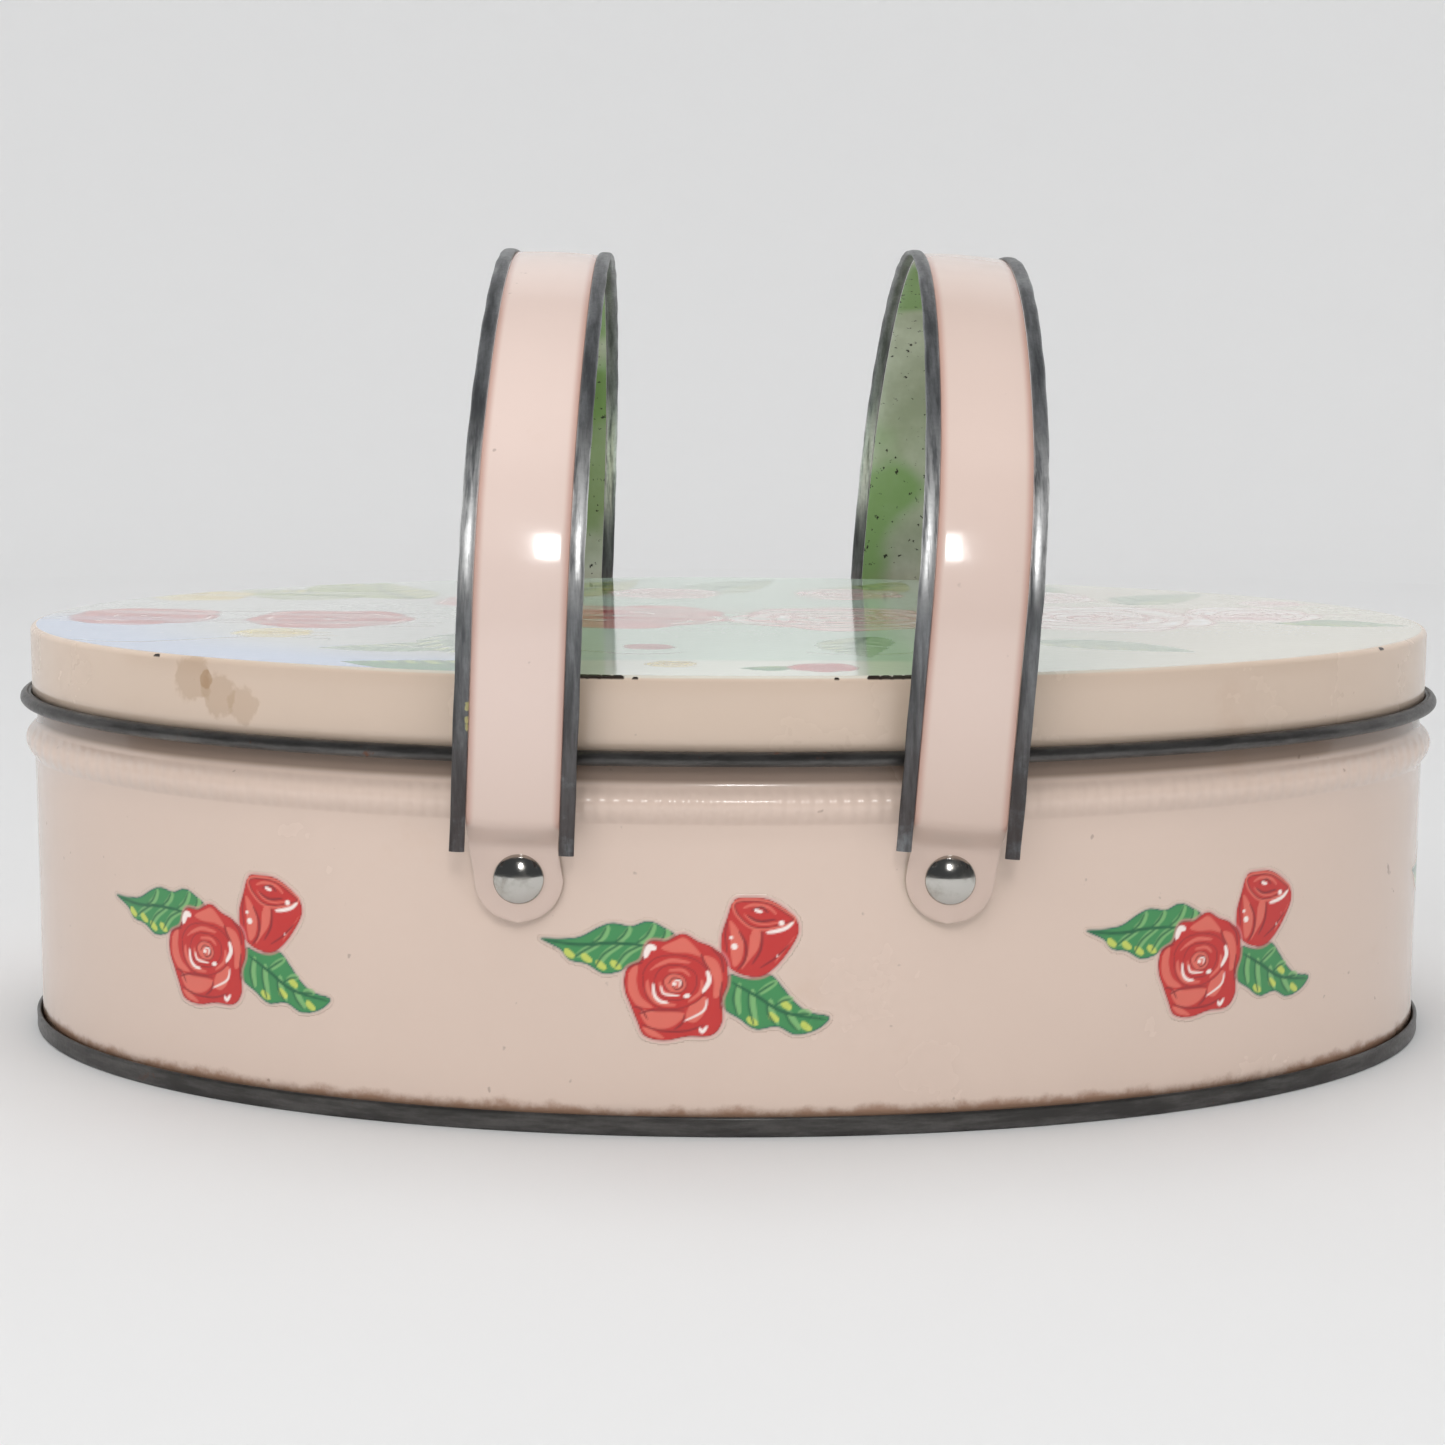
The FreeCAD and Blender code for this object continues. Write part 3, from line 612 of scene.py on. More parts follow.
def paint_open_rose(picture, inks):
    """The motif's rose: broad outer petals round a folded heart, brushed in flat tones."""
    outline = [(1.3, 8.4), (3.7, 7.2), (5.9, 6.3), (7.9, 4.3), (8.2, 0.8), (7.3, -2.0), (7.4, -5.4),
               (5.7, -7.6), (2.0, -7.8), (-1.6, -8.5), (-4.6, -7.8), (-5.7, -5.6), (-6.8, -2.9),
               (-7.7, -0.4), (-7.4, 2.6), (-5.1, 4.1), (-3.9, 7.0), (-1.2, 7.2)]
    picture.loop(outline, inks["blush"], 0.55, 0.55)
    picture.loop(outline, inks["line"], 0.16)
    picture.loop(outline, inks["body"])
    for petal in (
        [(-2.0, 6.2), (0.2, 7.4), (1.6, 7.8), (3.2, 6.4), (4.2, 4.9), (2.2, 5.4), (-0.4, 5.5)],
        [(-7.0, 2.3), (-5.7, 3.3), (-5.9, 0.8), (-5.2, -1.6), (-3.4, -3.3), (-5.8, -3.0), (-7.2, -0.6)],
        [(-5.3, -3.9), (-2.6, -4.0), (1.5, -4.2), (0.2, -6.0), (-1.9, -6.7), (-4.2, -6.2)],
        [(4.6, 5.0), (6.5, 4.3), (7.4, 1.8), (7.0, -1.2), (6.1, -1.5), (6.1, 1.2), (5.2, 3.2)],
        [(2.5, -2.9), (4.9, -1.5), (4.7, -4.0), (3.2, -5.6), (1.8, -5.0)],
        [(-5.0, -6.5), (-3.2, -7.0), (-1.6, -8.2), (-3.8, -7.8)],
    ):
        picture.loop(petal, inks["light"])
    for crease in (
        [(-5.0, 4.0), (-4.3, 5.4), (-3.7, 6.8)], [(-7.3, 2.8), (-6.2, 3.5), (-5.0, 3.7)],
        [(5.9, 6.1), (7.3, 4.5), (7.6, 2.4)], [(7.5, 1.0), (7.2, -1.0), (7.2, -3.4)],
        [(-5.6, -4.4), (-3.2, -3.7), (1.6, -3.7)],
        [(-5.2, -6.0), (-2.2, -7.0), (1.8, -7.0), (4.6, -6.0)],
        [(-6.4, -3.2), (-5.2, -3.6), (-4.2, -5.2)], [(1.6, -4.4), (1.2, -5.8), (0.0, -6.8)],
        [(4.2, 5.2), (4.6, 4.0), (5.6, 2.6)],
    ):
        picture.stroke(crease, 0.15, inks["deep"])
    for petal, tone in (
        ([(-4.8, 2.0), (-3.0, 4.4), (0.4, 5.0), (3.4, 4.2), (5.1, 2.3), (4.7, -0.6), (3.3, -2.3),
          (0.4, -3.4), (-2.4, -3.2), (-4.3, -1.4)], "body"),
        ([(-3.0, 1.2), (-1.7, 3.1), (1.0, 3.3), (3.1, 2.3), (3.3, 0.2), (1.9, -1.6), (-0.6, -2.0),
          (-2.5, -0.9)], "body"),
        ([(-1.6, 0.9), (-0.5, 2.0), (1.2, 1.7), (1.8, 0.3), (0.9, -0.8), (-0.8, -0.6)], "light"),
    ):
        picture.loop(petal, inks["deep"], 0.15)
        picture.loop(petal, inks[tone])
    for fold, width in (
        ([(-4.2, 1.0), (-4.0, -0.8), (-2.6, -2.5), (0.2, -2.9)], 0.34),
        ([(-3.0, 3.2), (-0.6, 4.2), (2.4, 3.9)], 0.30),
        ([(2.2, -2.3), (4.0, -0.8), (4.3, 1.2)], 0.26),
        ([(-0.9, 2.6), (1.2, 2.7), (2.4, 1.8)], 0.24),
        ([(-2.3, 0.8), (-1.8, -0.7), (0.2, -1.4)], 0.24),
        ([(-3.8, 2.6), (-2.3, 3.6), (-1.4, 3.8)], 0.16),
    ):
        picture.stroke(fold, width, inks["light"])
    picture.stroke([(-0.9, 0.5), (-0.2, 1.4), (1.0, 1.1), (1.2, 0.1), (0.3, -0.4), (-0.3, 0.2)],
                   0.13, inks["line"])
    for glint, width in (
        ([(-3.3, 0.5), (-3.1, -1.3), (-2.2, -2.3), (-1.0, -2.5)], 0.26),
        ([(5.1, 2.6), (5.4, 1.0), (4.4, -0.8)], 0.36),
        ([(-2.1, 0.1), (-1.6, -1.1), (0.7, -1.4)], 0.17),
        ([(5.1, -1.9), (4.5, -3.8), (1.6, -5.4)], 0.17),
        ([(3.9, -6.5), (4.4, -7.1), (5.1, -6.2)], 0.28),
        ([(-4.6, 4.6), (-3.9, 6.2), (-2.9, 6.0)], 0.52),
        ([(0.1, 1.1), (0.9, 0.9), (0.8, 0.1)], 0.15), ([(1.5, -1.5), (2.4, -1.3)], 0.34),
    ):
        picture.stroke(glint, width, inks["glint"])
    picture.dot(0.0, 0.5, 0.33, inks["glint"])


def paint_bud(picture, x, y, inks):
    """The motif's bud: a tilted cup of wrapped petals with a swirled, open mouth."""
    def at(points):
        return [(x + across, y + up) for across, up in points]

    outline = at([(-3.8, 5.9), (-1.4, 6.3), (1.4, 6.0), (3.9, 4.6), (5.7, 2.9), (6.1, 0.9),
                  (5.0, -1.5), (2.9, -4.3), (0.8, -5.9), (-1.4, -6.1), (-3.9, -5.2),
                  (-5.6, -3.1), (-5.8, 0.0), (-4.9, 3.1)])
    picture.loop(outline, inks["blush"], 0.5, 0.55)
    picture.loop(outline, inks["line"], 0.12)
    picture.loop(outline, inks["body"])
    for petal in (
        [(-4.5, 2.7), (-3.3, 1.4), (-2.4, -0.6), (-2.7, -3.4), (-3.9, -4.6), (-4.4, -2.0), (-4.4, 0.4)],
        [(-1.2, 0.9), (0.2, 1.0), (-0.1, -1.6), (-1.5, -3.6), (-2.7, -5.0), (-1.7, -2.6)],
        [(4.9, -0.8), (5.5, 0.2), (4.6, -1.2), (2.6, -3.9), (3.4, -2.4)],
    ):
        picture.loop(at(petal), inks["light"])
    for crease, width in (
        ([(-3.1, 1.1), (-2.0, -1.2), (-2.2, -3.6), (-3.3, -5.1)], 0.20),
        ([(0.5, 1.2), (0.3, -1.8), (-1.0, -4.2)], 0.18),
        ([(4.6, -1.2), (2.6, -3.2), (0.2, -4.8)], 0.14),
        ([(-4.9, 2.8), (-5.2, 0.4), (-4.9, -2.4)], 0.12),
    ):
        picture.stroke(at(crease), width, inks["deep"])
    mouth = at([(-3.7, 5.5), (-1.2, 5.9), (1.6, 5.5), (4.2, 4.0), (5.5, 2.8), (3.4, 1.9),
                (0.6, 1.4), (-1.6, 1.9), (-3.5, 3.8)])
    picture.loop(mouth, inks["light"], 0.30)
    picture.loop(mouth, inks["deep"], -0.05)
    picture.loop(mouth, inks["body"], -0.25)
    for swirl, width, ink in (
        ([(-2.4, 4.7), (-0.8, 5.2), (1.4, 4.8), (2.7, 3.7)], 0.24, "light"),
        ([(-1.8, 3.5), (0.0, 2.6), (2.6, 2.9)], 0.17, "line"),
        ([(-2.3, 3.7), (-0.9, 2.5), (1.0, 2.1), (3.6, 2.5)], 0.15, "light"),
        ([(-1.2, 4.3), (0.4, 4.8), (1.4, 3.9)], 0.15, "line"),
        ([(-0.7, 4.4), (0.5, 4.0)], 0.26, "glint"),
        ([(1.2, 0.8), (2.6, 1.0), (4.2, 1.5), (5.3, 2.4)], 0.30, "glint"),
    ):
        picture.stroke(at(swirl), width, inks[ink])
    for across, up, radius in ((3.5, 2.3, 0.42), (-4.3, 0.0, 0.28), (-3.8, -1.4, 0.5),
                               (2.9, -2.9, 0.14)):
        picture.dot(x + across, y + up, radius, inks["glint"])


def paint_motif_leaf(picture, outline, rib, veins, patches, inks):
    """One of the motif's leaves: a wavy edge, brushed veins and yellow patches."""
    picture.loop(outline, inks["line"], 0.30, 0.45)
    picture.loop(outline, inks["line"], 0.05)
    picture.loop(outline, inks["body"], -0.20)
    for start, middle, end in veins:
        shift = np.array([0.55, 0.25])
        picture.stroke([np.add(start, shift), np.add(middle, shift), np.add(end, 0.6 * shift)],
                       0.55, inks["light"], 0.8)
    for across, up in patches:
        picture.stroke([(across - 0.5, up + 0.6), (across, up), (across + 0.9, up - 0.6)], 0.55,
                       inks["tip"], 0.9)
    for vein in veins:
        picture.stroke(vein, 0.20, inks["deep"], 0.9)
    picture.stroke(rib, 0.28, inks["deep"])


def paint_leaf(picture, base, tip, width, bend, inks, teeth, yellow_side):
    """A serrated leaf along a bowed midrib, with side veins and a yellow edge."""
    base, tip = np.array(base), np.array(tip)
    length = np.linalg.norm(tip - base)
    middle = (base + tip) / 2
    where, dx, dy = picture.near(middle[0], middle[1], length * 0.62 + width)
    along_axis = (tip - base) / length
    dx, dy = dx + (middle - base)[0], dy + (middle - base)[1]
    along = (dx * along_axis[0] + dy * along_axis[1]) / length
    inner = np.clip(along, 0, 1)
    across = dy * along_axis[0] - dx * along_axis[1] - bend * 4 * inner * (1 - inner)
    tooth = np.mod(inner * teeth + 0.15 * np.sign(across), 1.0)
    half = width * np.sin(math.pi * inner ** 0.72) ** 0.85 * (1 + 0.13 * (0.5 - tooth))
    inside = np.minimum(half - np.abs(across), np.minimum(along, 1 - along) * length)
    share = np.abs(across) / width
    picture.lay(where, inside + 0.16, inks["line"])
    picture.lay(where, inside, inks["body"])
    vein = np.mod(inner * teeth - share * 1.15 + 0.1 * np.sin(inner * 9), 1.0)
    picture.lay(where, np.minimum(inside - 0.25, (0.26 - np.abs(vein - 0.45)) * 2.2), inks["light"],
                0.85)
    picture.lay(where, np.minimum(inside, (0.13 - np.abs(vein - 0.02)) * 2.2), inks["deep"], 0.8)
    picture.lay(where, np.minimum(inside, (0.13 - np.abs(vein - 0.98)) * 2.2), inks["deep"], 0.8)
    lower = across * yellow_side
    patch = np.minimum(np.minimum(lower - 0.30 * width, inside - 0.22),
                       (0.22 - np.abs(vein - 0.5)) * 2.0)
    picture.lay(where, patch, inks["tip"], 0.85)
    picture.lay(where, np.minimum(inside, 0.10 * width * (1.1 - inner) + 0.06 - np.abs(across)),
                inks["deep"])


def paint_cluster(picture):
    """The wall's motif: an open rose, a bud to its upper right and two leaves."""
    paint_motif_leaf(
        picture,
        [(-21.0, 7.2), (-17.8, 7.3), (-14.8, 7.7), (-11.8, 9.3), (-9.6, 10.0), (-6.7, 9.6),
         (-4.2, 10.4), (-1.9, 9.6), (0.4, 7.6), (-3.2, 4.6), (-7.2, 3.0), (-8.8, 2.2),
         (-11.2, 1.9), (-13.7, 3.3), (-16.4, 3.9), (-18.0, 5.6)],
        [(-20.6, 7.0), (-15.0, 6.4), (-9.5, 6.8), (-3.0, 6.4)],
        [[(-5.0, 6.6), (-7.6, 5.2), (-9.2, 3.0)], [(-8.4, 6.7), (-11.0, 5.0), (-12.4, 2.9)],
         [(-12.0, 6.6), (-14.2, 5.4), (-15.6, 4.4)], [(-6.0, 6.8), (-4.4, 8.0), (-3.4, 9.8)],
         [(-9.4, 6.8), (-8.0, 8.0), (-7.2, 9.3)], [(-13.0, 6.6), (-11.6, 7.6), (-10.6, 9.3)],
         [(-3.0, 6.6), (-1.8, 7.8), (-1.4, 9.0)]],
        [(-16.6, 5.0), (-13.9, 4.4), (-11.6, 3.3), (-9.3, 3.4)], GREENS)
    paint_motif_leaf(
        picture,
        [(8.2, 1.9), (11.4, 1.5), (14.8, 2.1), (17.0, -0.1), (18.5, -2.0), (20.8, -3.9),
         (24.2, -4.8), (22.3, -6.8), (18.9, -7.6), (16.0, -6.3), (12.7, -6.7), (10.2, -5.1),
         (7.4, -2.8)],
        [(9.0, 0.8), (13.0, -1.5), (17.2, -4.0), (23.6, -5.2)],
        [[(11.6, -0.6), (11.6, -3.0), (12.4, -6.0)], [(14.4, -2.2), (14.6, -4.2), (15.8, -6.0)],
         [(17.2, -4.0), (18.0, -5.6), (19.2, -6.9)], [(12.6, -1.2), (14.0, -0.2), (15.6, 0.8)],
         [(15.6, -3.0), (16.8, -2.2), (18.2, -1.9)], [(18.8, -4.4), (20.0, -4.2), (21.0, -4.3)],
         [(9.6, 0.4), (9.2, -2.0), (9.8, -4.4)]],
        [(17.3, -2.8), (15.3, -4.7), (12.0, -5.3), (20.4, -6.2)], GREENS)
    paint_bud(picture, 13.1, 7.9, REDS)
    paint_open_rose(picture, REDS)


def paint_lid(picture):
    """The lid's bouquet: pale ground, leaves behind, red roses left, pale ones right."""
    x, y = picture.x, picture.y
    blue, mint, cream = hue(196, 212, 240), hue(204, 226, 208), hue(226, 222, 204)
    to_mint = smoothstep(-60, -20, x + 0.2 * y)[:, None]
    to_cream = smoothstep(20, 80, x)[:, None]
    rim = (x * MM / OVAL_X) ** 2 + (y * MM / OVAL_Y) ** 2
    edge_blue = (smoothstep(0.45, 0.85, rim) * smoothstep(14, -10, y))[:, None]
    left = blue * edge_blue + hue(216, 219, 214) * (1 - edge_blue)
    ground = left * (1 - to_mint) + mint * to_mint * (1 - to_cream) + cream * to_cream
    front = smoothstep(-59, -64, y) * smoothstep(34, 26, np.abs(x + 2))
    ground += (0.7 * front)[:, None] * (hue(244, 242, 228) - ground)
    picture.rgb = ground.copy()
    leaves = [
        ((-70, 38), (-96, 50), 10, 2, OLIVES), ((-64, 42), (-82, 66), 10, 2, OLIVES),
        ((-60, 34), (-70, 66), 9, 3, OLIVES), ((-48, 34), (-44, 72), 8, -3, OLIVES),
        ((-30, 40), (-18, 74), 8, 3, OLIVES), ((-4, 44), (10, 76), 8, 3, SAGES),
        ((18, 40), (36, 72), 8, -2, OLIVES), ((48, 34), (66, 62), 8, -3, SAGES),
        ((76, 28), (94, 48), 7, 2, SAGES), ((98, -2), (121, -8), 5, 1, GREENS),
        ((-44, -40), (-68, -46), 6, 2, SAGES),
        ((-48, -26), (-38, -58), 6, -3, SAGES), ((50, -34), (76, -48), 6, 2, SAGES),
        ((24, -28), (22, -56), 6, -3, SAGES),
    ]
    for base, tip, width, bend, inks in leaves:
        paint_leaf(picture, base, tip, width, bend, inks, 7, -1)
    for sweep_x, sweep_y, reach, bow in ((-90, -34, 22, 4), (-22, -50, 14, -3), (30, -50, 18, 3),
                                         (88, -4, 26, 5)):
        where, dx, dy = picture.near(sweep_x, sweep_y, reach)
        stem = 0.4 - np.abs(dy - bow * np.sin(dx / reach * 3))
        picture.lay(where, np.minimum(stem, reach - np.abs(dx)), hue(150, 130, 130), 0.6)
    roses = [
        (-102, 39, 10, YELLOWS), (-79, -24, 7, YELLOWS), (-10, -66, 4, YELLOWS), (104, 30, 6, WHITES),
        (-12, 46, 11, PALE_PINKS), (24, 46, 11, PALE_PINKS), (60, 40, 12, WHITES),
        (-44, 30, 12, ROSE_PINKS), (96, 10, 13, WHITES), (-106, 2, 14, REDS), (-72, -2, 15, REDS),
        (-20, 4, 20, ROSE_PINKS), (20, 2, 20, PALE_PINKS), (66, 4, 22, WHITES),
        (-14, -43, 4, REDS),
    ]
    for number, (rose_x, rose_y, radius, inks) in enumerate(roses):
        paint_rose(picture, rose_x, rose_y, radius, inks, number * 1.3, 20 + number)
    rng = np.random.default_rng(9)
    for rose_x, rose_y, radius, inks in roses:
        for _ in range(int(radius * 0.7)):
            start = rose_x + radius * rng.uniform(-1.7, 0.4)
            height = rose_y + radius * rng.uniform(-0.8, 0.8)
            reach, drift = radius * rng.uniform(0.9, 1.8), rng.uniform(-1.2, 1.2)
            line = [(start, height), (start + reach / 2, height + drift), (start + reach, height)]
            picture.stroke(line, rng.uniform(0.3, 0.6),
                           inks["deep" if rng.uniform() < 0.6 else "line"], 0.5)
    wave = (np.sin(0.95 * y + 3 * np.sin(0.06 * x)) + np.sin(1.7 * y + 2 * np.sin(0.11 * x + 1))
            + np.sin(0.6 * y + 0.09 * x) + 0.9 * np.sin(0.21 * x + 0.4 * y + 2 * np.sin(0.3 * y)))
    faded = 0.52 * smoothstep(-0.9, 1.3, wave) * (1 - 0.3 * smoothstep(20, 60, x))
    picture.rgb += faded[:, None] * (ground - picture.rgb)
    vivid = dict(GREENS, body=hue(6, 126, 54), light=hue(46, 166, 80))
    paint_leaf(picture, (-36, -69), (-62, -64), 6.5, 2, vivid, 7, -1)
    paint_leaf(picture, (9, -70), (1, -71), 2.6, 1, vivid, 4, -1)
    paint_rose(picture, 14, -70, 5.5, dict(REDS, body=hue(196, 40, 44)), 0.4, 37)


def store_paint(piece, picture, kept=slice(None)):
    """Writes a picture's colours on a mesh whose points repeat the picture's twice, in order."""
    paint = piece.data.color_attributes.new("paint", "FLOAT_COLOR", "POINT")
    values = np.concatenate([picture.rgb, picture.cover[:, None]], axis=1)
    values = np.concatenate([values, values])[kept]
    paint.data.foreach_set("color", values.astype(np.float32).ravel())


# ---------------------------------------------------------------------------
# Tin: wall, base, seats, rivets and the printed motifs

def dents(turns, height):
    """The wall's slight oil-canning, in metres, fading out at the seam and the bead."""
    fade = smoothstep(4 * MM, 14 * MM, height) * smoothstep(BEAD_LOW, BEAD_LOW - 8 * MM, height)
    wave = np.sin(5 * turns + 40 * height) * np.sin(3 * turns - 1.1) + 0.6 * np.sin(11 * turns + 0.7)
    return -0.05 * MM * (1.6 + wave) * fade


def make_wall(enamel, tin):
    """Body wall: bead, necked-in top with its hem, pink outside and bare inside."""
    foot = 1.0 * MM
    outside = [(WALL, z) for z in np.linspace(foot, BEAD_LOW, 13)]
    for s in np.linspace(-1, 1, 19)[1:-1]:
        middle = (BEAD_LOW + BEAD_HIGH) / 2 + s * (BEAD_HIGH - BEAD_LOW) / 2
        base = WALL + (NECK - WALL) * smoothstep(0.3, 1.0, s)
        outside.append((float(base + BEAD_RISE * (1 - s * s) ** 1.3), middle))
    outside += [(NECK, BEAD_HIGH + 0.2 * MM), (NECK, 60 * MM), (NECK, NECK_TOP - 0.25 * MM)]
    top = arc_points((NECK - 0.3 * MM, NECK_TOP - 0.3 * MM), 0.3 * MM, 30, 150, 5)
    hem = [(NECK - 0.6 * MM, NECK_TOP - 0.4 * MM), (NECK - 0.6 * MM, NECK_TOP - 2.9 * MM),
           (NECK - SHEET, NECK_TOP - 3.0 * MM)]
    inside = [(out - SHEET, z) for out, z in reversed(outside[:-1])]
    profile = outside + top + hem + inside
    sweep("wall", profile, [enamel, tin], "tin", ["body_wall"],
          inside_from=len(outside) + 2, wobble=dents)


def make_lock_seam(enamel):
    """Lock seam down the rear of the wall: a low rounded ridge outside."""
    half, rise = 2.5 * MM, 0.16 * MM
    across = np.linspace(-1, 1, 13)
    heights = np.linspace(SEAM_TOP, BEAD_LOW - 0.4 * MM, 24)
    grid = []
    for lift in (1, 0):
        for z in heights:
            turns = turn_at(GIRTH / 2 + across * half)
            out = WALL - 0.16 * MM + lift * (rise + 0.05 * MM) * (1 - np.abs(across) ** 8)
            grid.append(oval_point(turns, out, z))
    faces = slab_faces(len(heights), len(across))
    add_mesh("rear_lock_seam", np.concatenate(grid), faces, [enamel], "tin")


def border_faces(rows, columns):
    """Quads joining the edges of two grids of the same size, stored one after the other."""
    last = (rows - 1) * columns
    edge = list(range(columns))
    edge += [row * columns + columns - 1 for row in range(1, rows)]
    edge += [last + column for column in range(columns - 2, -1, -1)]
    edge += [row * columns for row in range(rows - 2, 0, -1)]
    shift = rows * columns
    return [(edge[i - 1] + shift, edge[i] + shift, edge[i], edge[i - 1])
            for i in range(len(edge))]


def slab_faces(rows, columns):
    """A closed slab between two grids stored one after the other: upper, lower and edge faces."""
    upper = grid_faces(rows, columns)
    lower = [tuple(rows * columns + i for i in reversed(face)) for face in upper]
    return upper + lower + border_faces(rows, columns)


def make_base(rim_tin, inner_tin):
    """Double seam round the foot, and the flat panel sunk inside it."""
    gap = 0.12 * MM
    rim = [(WALL - SHEET - 0.35 * MM, 0.25 * MM), (WALL - SHEET - 0.1 * MM, 0.0)]
    rim += arc_points((SEAM_OUT - 0.45 * MM, 0.45 * MM), 0.45 * MM, -90, 0, 5)
    rim += [(SEAM_OUT - 0.05 * MM, 1.6 * MM)]
    rim += arc_points((SEAM_OUT - 0.4 * MM, SEAM_TOP - 0.4 * MM), 0.4 * MM, 0, 130, 6)
    rim += [(WALL + gap, SEAM_TOP - 0.5 * MM), (WALL + gap, 1.2 * MM), (WALL - 0.3 * MM, 1.0 * MM),
            (WALL - SHEET - 0.3 * MM, 1.2 * MM), (WALL - SHEET - 0.35 * MM, PANEL_HEIGHT)]
    sweep("base_seam", rim, [rim_tin], "tin", ["base_panel"])
    turns = turn_at(np.arange(ROUND) * GIRTH / ROUND)
    rings = []
    steps = ((-0.6, PANEL_HEIGHT), (-2.0, PANEL_HEIGHT + 0.05 * MM), (-5.0, PANEL_HEIGHT),
             (-6.5, PANEL_HEIGHT - 0.4 * MM), (-30.0, PANEL_HEIGHT - 0.4 * MM),
             (-55.0, PANEL_HEIGHT - 0.4 * MM))
    for lift in (0.0, SHEET):
        for out, z in steps:
            shrink = out * MM
            rings.append(np.stack([(OVAL_X + shrink) * np.cos(turns), (OVAL_Y + shrink) * np.sin(turns),
                                   np.full(ROUND, z + lift)], -1))
    verts = np.concatenate(rings)
    count = len(steps)
    faces = []
    for ring in range(count - 1):
        for i in range(ROUND):
            k = (i + 1) % ROUND
            low, high = ring * ROUND, (ring + count) * ROUND
            faces.append((low + k, low + i, low + ROUND + i, low + ROUND + k))
            faces.append((high + i, high + k, high + ROUND + k, high + ROUND + i))
    for i in range(ROUND):
        k = (i + 1) % ROUND
        faces.append((i, k, count * ROUND + k, count * ROUND + i))
    faces.append(tuple((count - 1) * ROUND + i for i in reversed(range(ROUND))))
    faces.append(tuple((2 * count - 1) * ROUND + i for i in range(ROUND)))
    panel = add_mesh("base_sheet", verts, faces, [inner_tin], "tin")
    sharpen(panel, 40)


def lathe(name, profile, centre, facing, materials, replaces=(), steps=64):
    """A profile of (radius, along) points turned about a line along Y."""
    angles = np.arange(steps) * 2 * math.pi / steps
    verts, rings = [], []
    for radius, along in profile:
        y = centre[1] + facing * along
        if radius < 1e-7:
            rings.append([len(verts)])
            verts.append((centre[0], y, centre[2]))
            continue
        rings.append(list(range(len(verts), len(verts) + steps)))
        for a in angles:
            verts.append((centre[0] + facing * radius * math.cos(a), y,
                          centre[2] + radius * math.sin(a)))
    faces = []
    for low, high in zip(rings, rings[1:]):
        for i in range(steps):
            k = (i + 1) % steps
            face = [low[i % len(low)], low[k % len(low)], high[k % len(high)], high[i % len(high)]]
            faces.append(tuple(dict.fromkeys(face)))
    return add_mesh(name, verts, faces, materials, "tin", replaces)


def make_rivets(metal, enamel):
    """At each pivot: a domed rivet with shank and clinched tail, and the wall's flat seat."""
    for row, facing in (("front", -1), ("rear", 1)):
        for side, pivot in PIVOTS.items():
            name = "%s_%s" % (row, side)
            centre = (pivot.x, 0.0, pivot.z)
            rise = HEAD_HEIGHT - HEAD_RIM
            bow = (HEAD_RADIUS ** 2 + rise ** 2) / (2 * rise)
            crest = HEAD_SEAT + HEAD_HEIGHT
            dome = []
            for a in np.linspace(0, math.asin((HEAD_RADIUS - 0.12 * MM) / bow), 14):
                dome.append((bow * math.sin(a), crest - bow + bow * math.cos(a)))
            edge = [(HEAD_RADIUS, HEAD_SEAT + 0.2 * MM), (HEAD_RADIUS - 0.15 * MM, HEAD_SEAT)]
            tail_seat = 78.70 * MM
            tail = [(1.55 * MM, HEAD_SEAT), (1.55 * MM, tail_seat), (2.45 * MM, tail_seat),
                    (2.6 * MM, tail_seat - 0.3 * MM), (2.2 * MM, tail_seat - 0.7 * MM),
                    (1.2 * MM, tail_seat - 0.95 * MM), (0.6 * MM, tail_seat - 0.7 * MM),
                    (0.0, tail_seat - 0.6 * MM)]
            rivet = lathe(name + "_domed_rivet", dome + edge + tail, centre, facing, [metal],
                          [name + "_rivet"])
            sharpen(rivet, 50)
            inner = 76.0 * MM
            seat = [(5.75 * MM, inner), (SEAT_RADIUS, inner), (SEAT_RADIUS, SEAT_FACE - 0.5 * MM)]
            seat += [(SEAT_RADIUS - 0.15 * MM, SEAT_FACE - 0.15 * MM),
                     (SEAT_RADIUS - 0.5 * MM, SEAT_FACE), (1.62 * MM, SEAT_FACE),
                     (1.62 * MM, SEAT_FACE - SHEET), (5.75 * MM, SEAT_FACE - SHEET),
                     (5.75 * MM, inner)]
            make_seat(name + "_rivet_seat", seat, centre, facing, enamel)


def make_seat(name, profile, centre, facing, enamel):
    """A flat pressed seat; its rim inside the wall is trimmed to the wall's outside."""
    mesh = lathe(name, profile, centre, facing, [enamel]).data
    flat = np.zeros(len(mesh.vertices) * 3)
    mesh.vertices.foreach_get("co", flat)
    places = flat.reshape(-1, 3)
    reach = np.sqrt(np.clip(1 - (places[:, 0] / (OVAL_X + WALL)) ** 2, 0, 1))
    reach = reach * (OVAL_Y + WALL) - 0.15 * MM
    low = facing * places[:, 1] < reach
    places[low, 1] = facing * np.minimum(reach[low], SEAT_FACE - SHEET)
    mesh.vertices.foreach_set("co", places.ravel())
    mesh.update()


# arc length in mm from the front middle to each motif's open rose: four as the front
# shows them and the rest evenly round the rear, clear of the lock seam
MOTIF_ARCS = [-89.8, -9.3, 77.7, 161.8]
MOTIF_ARCS += [161.8 + (GIRTH / MM - 251.6) / 4 * number for number in range(1, 4)]
MOTIF_HEIGHT = 23.8


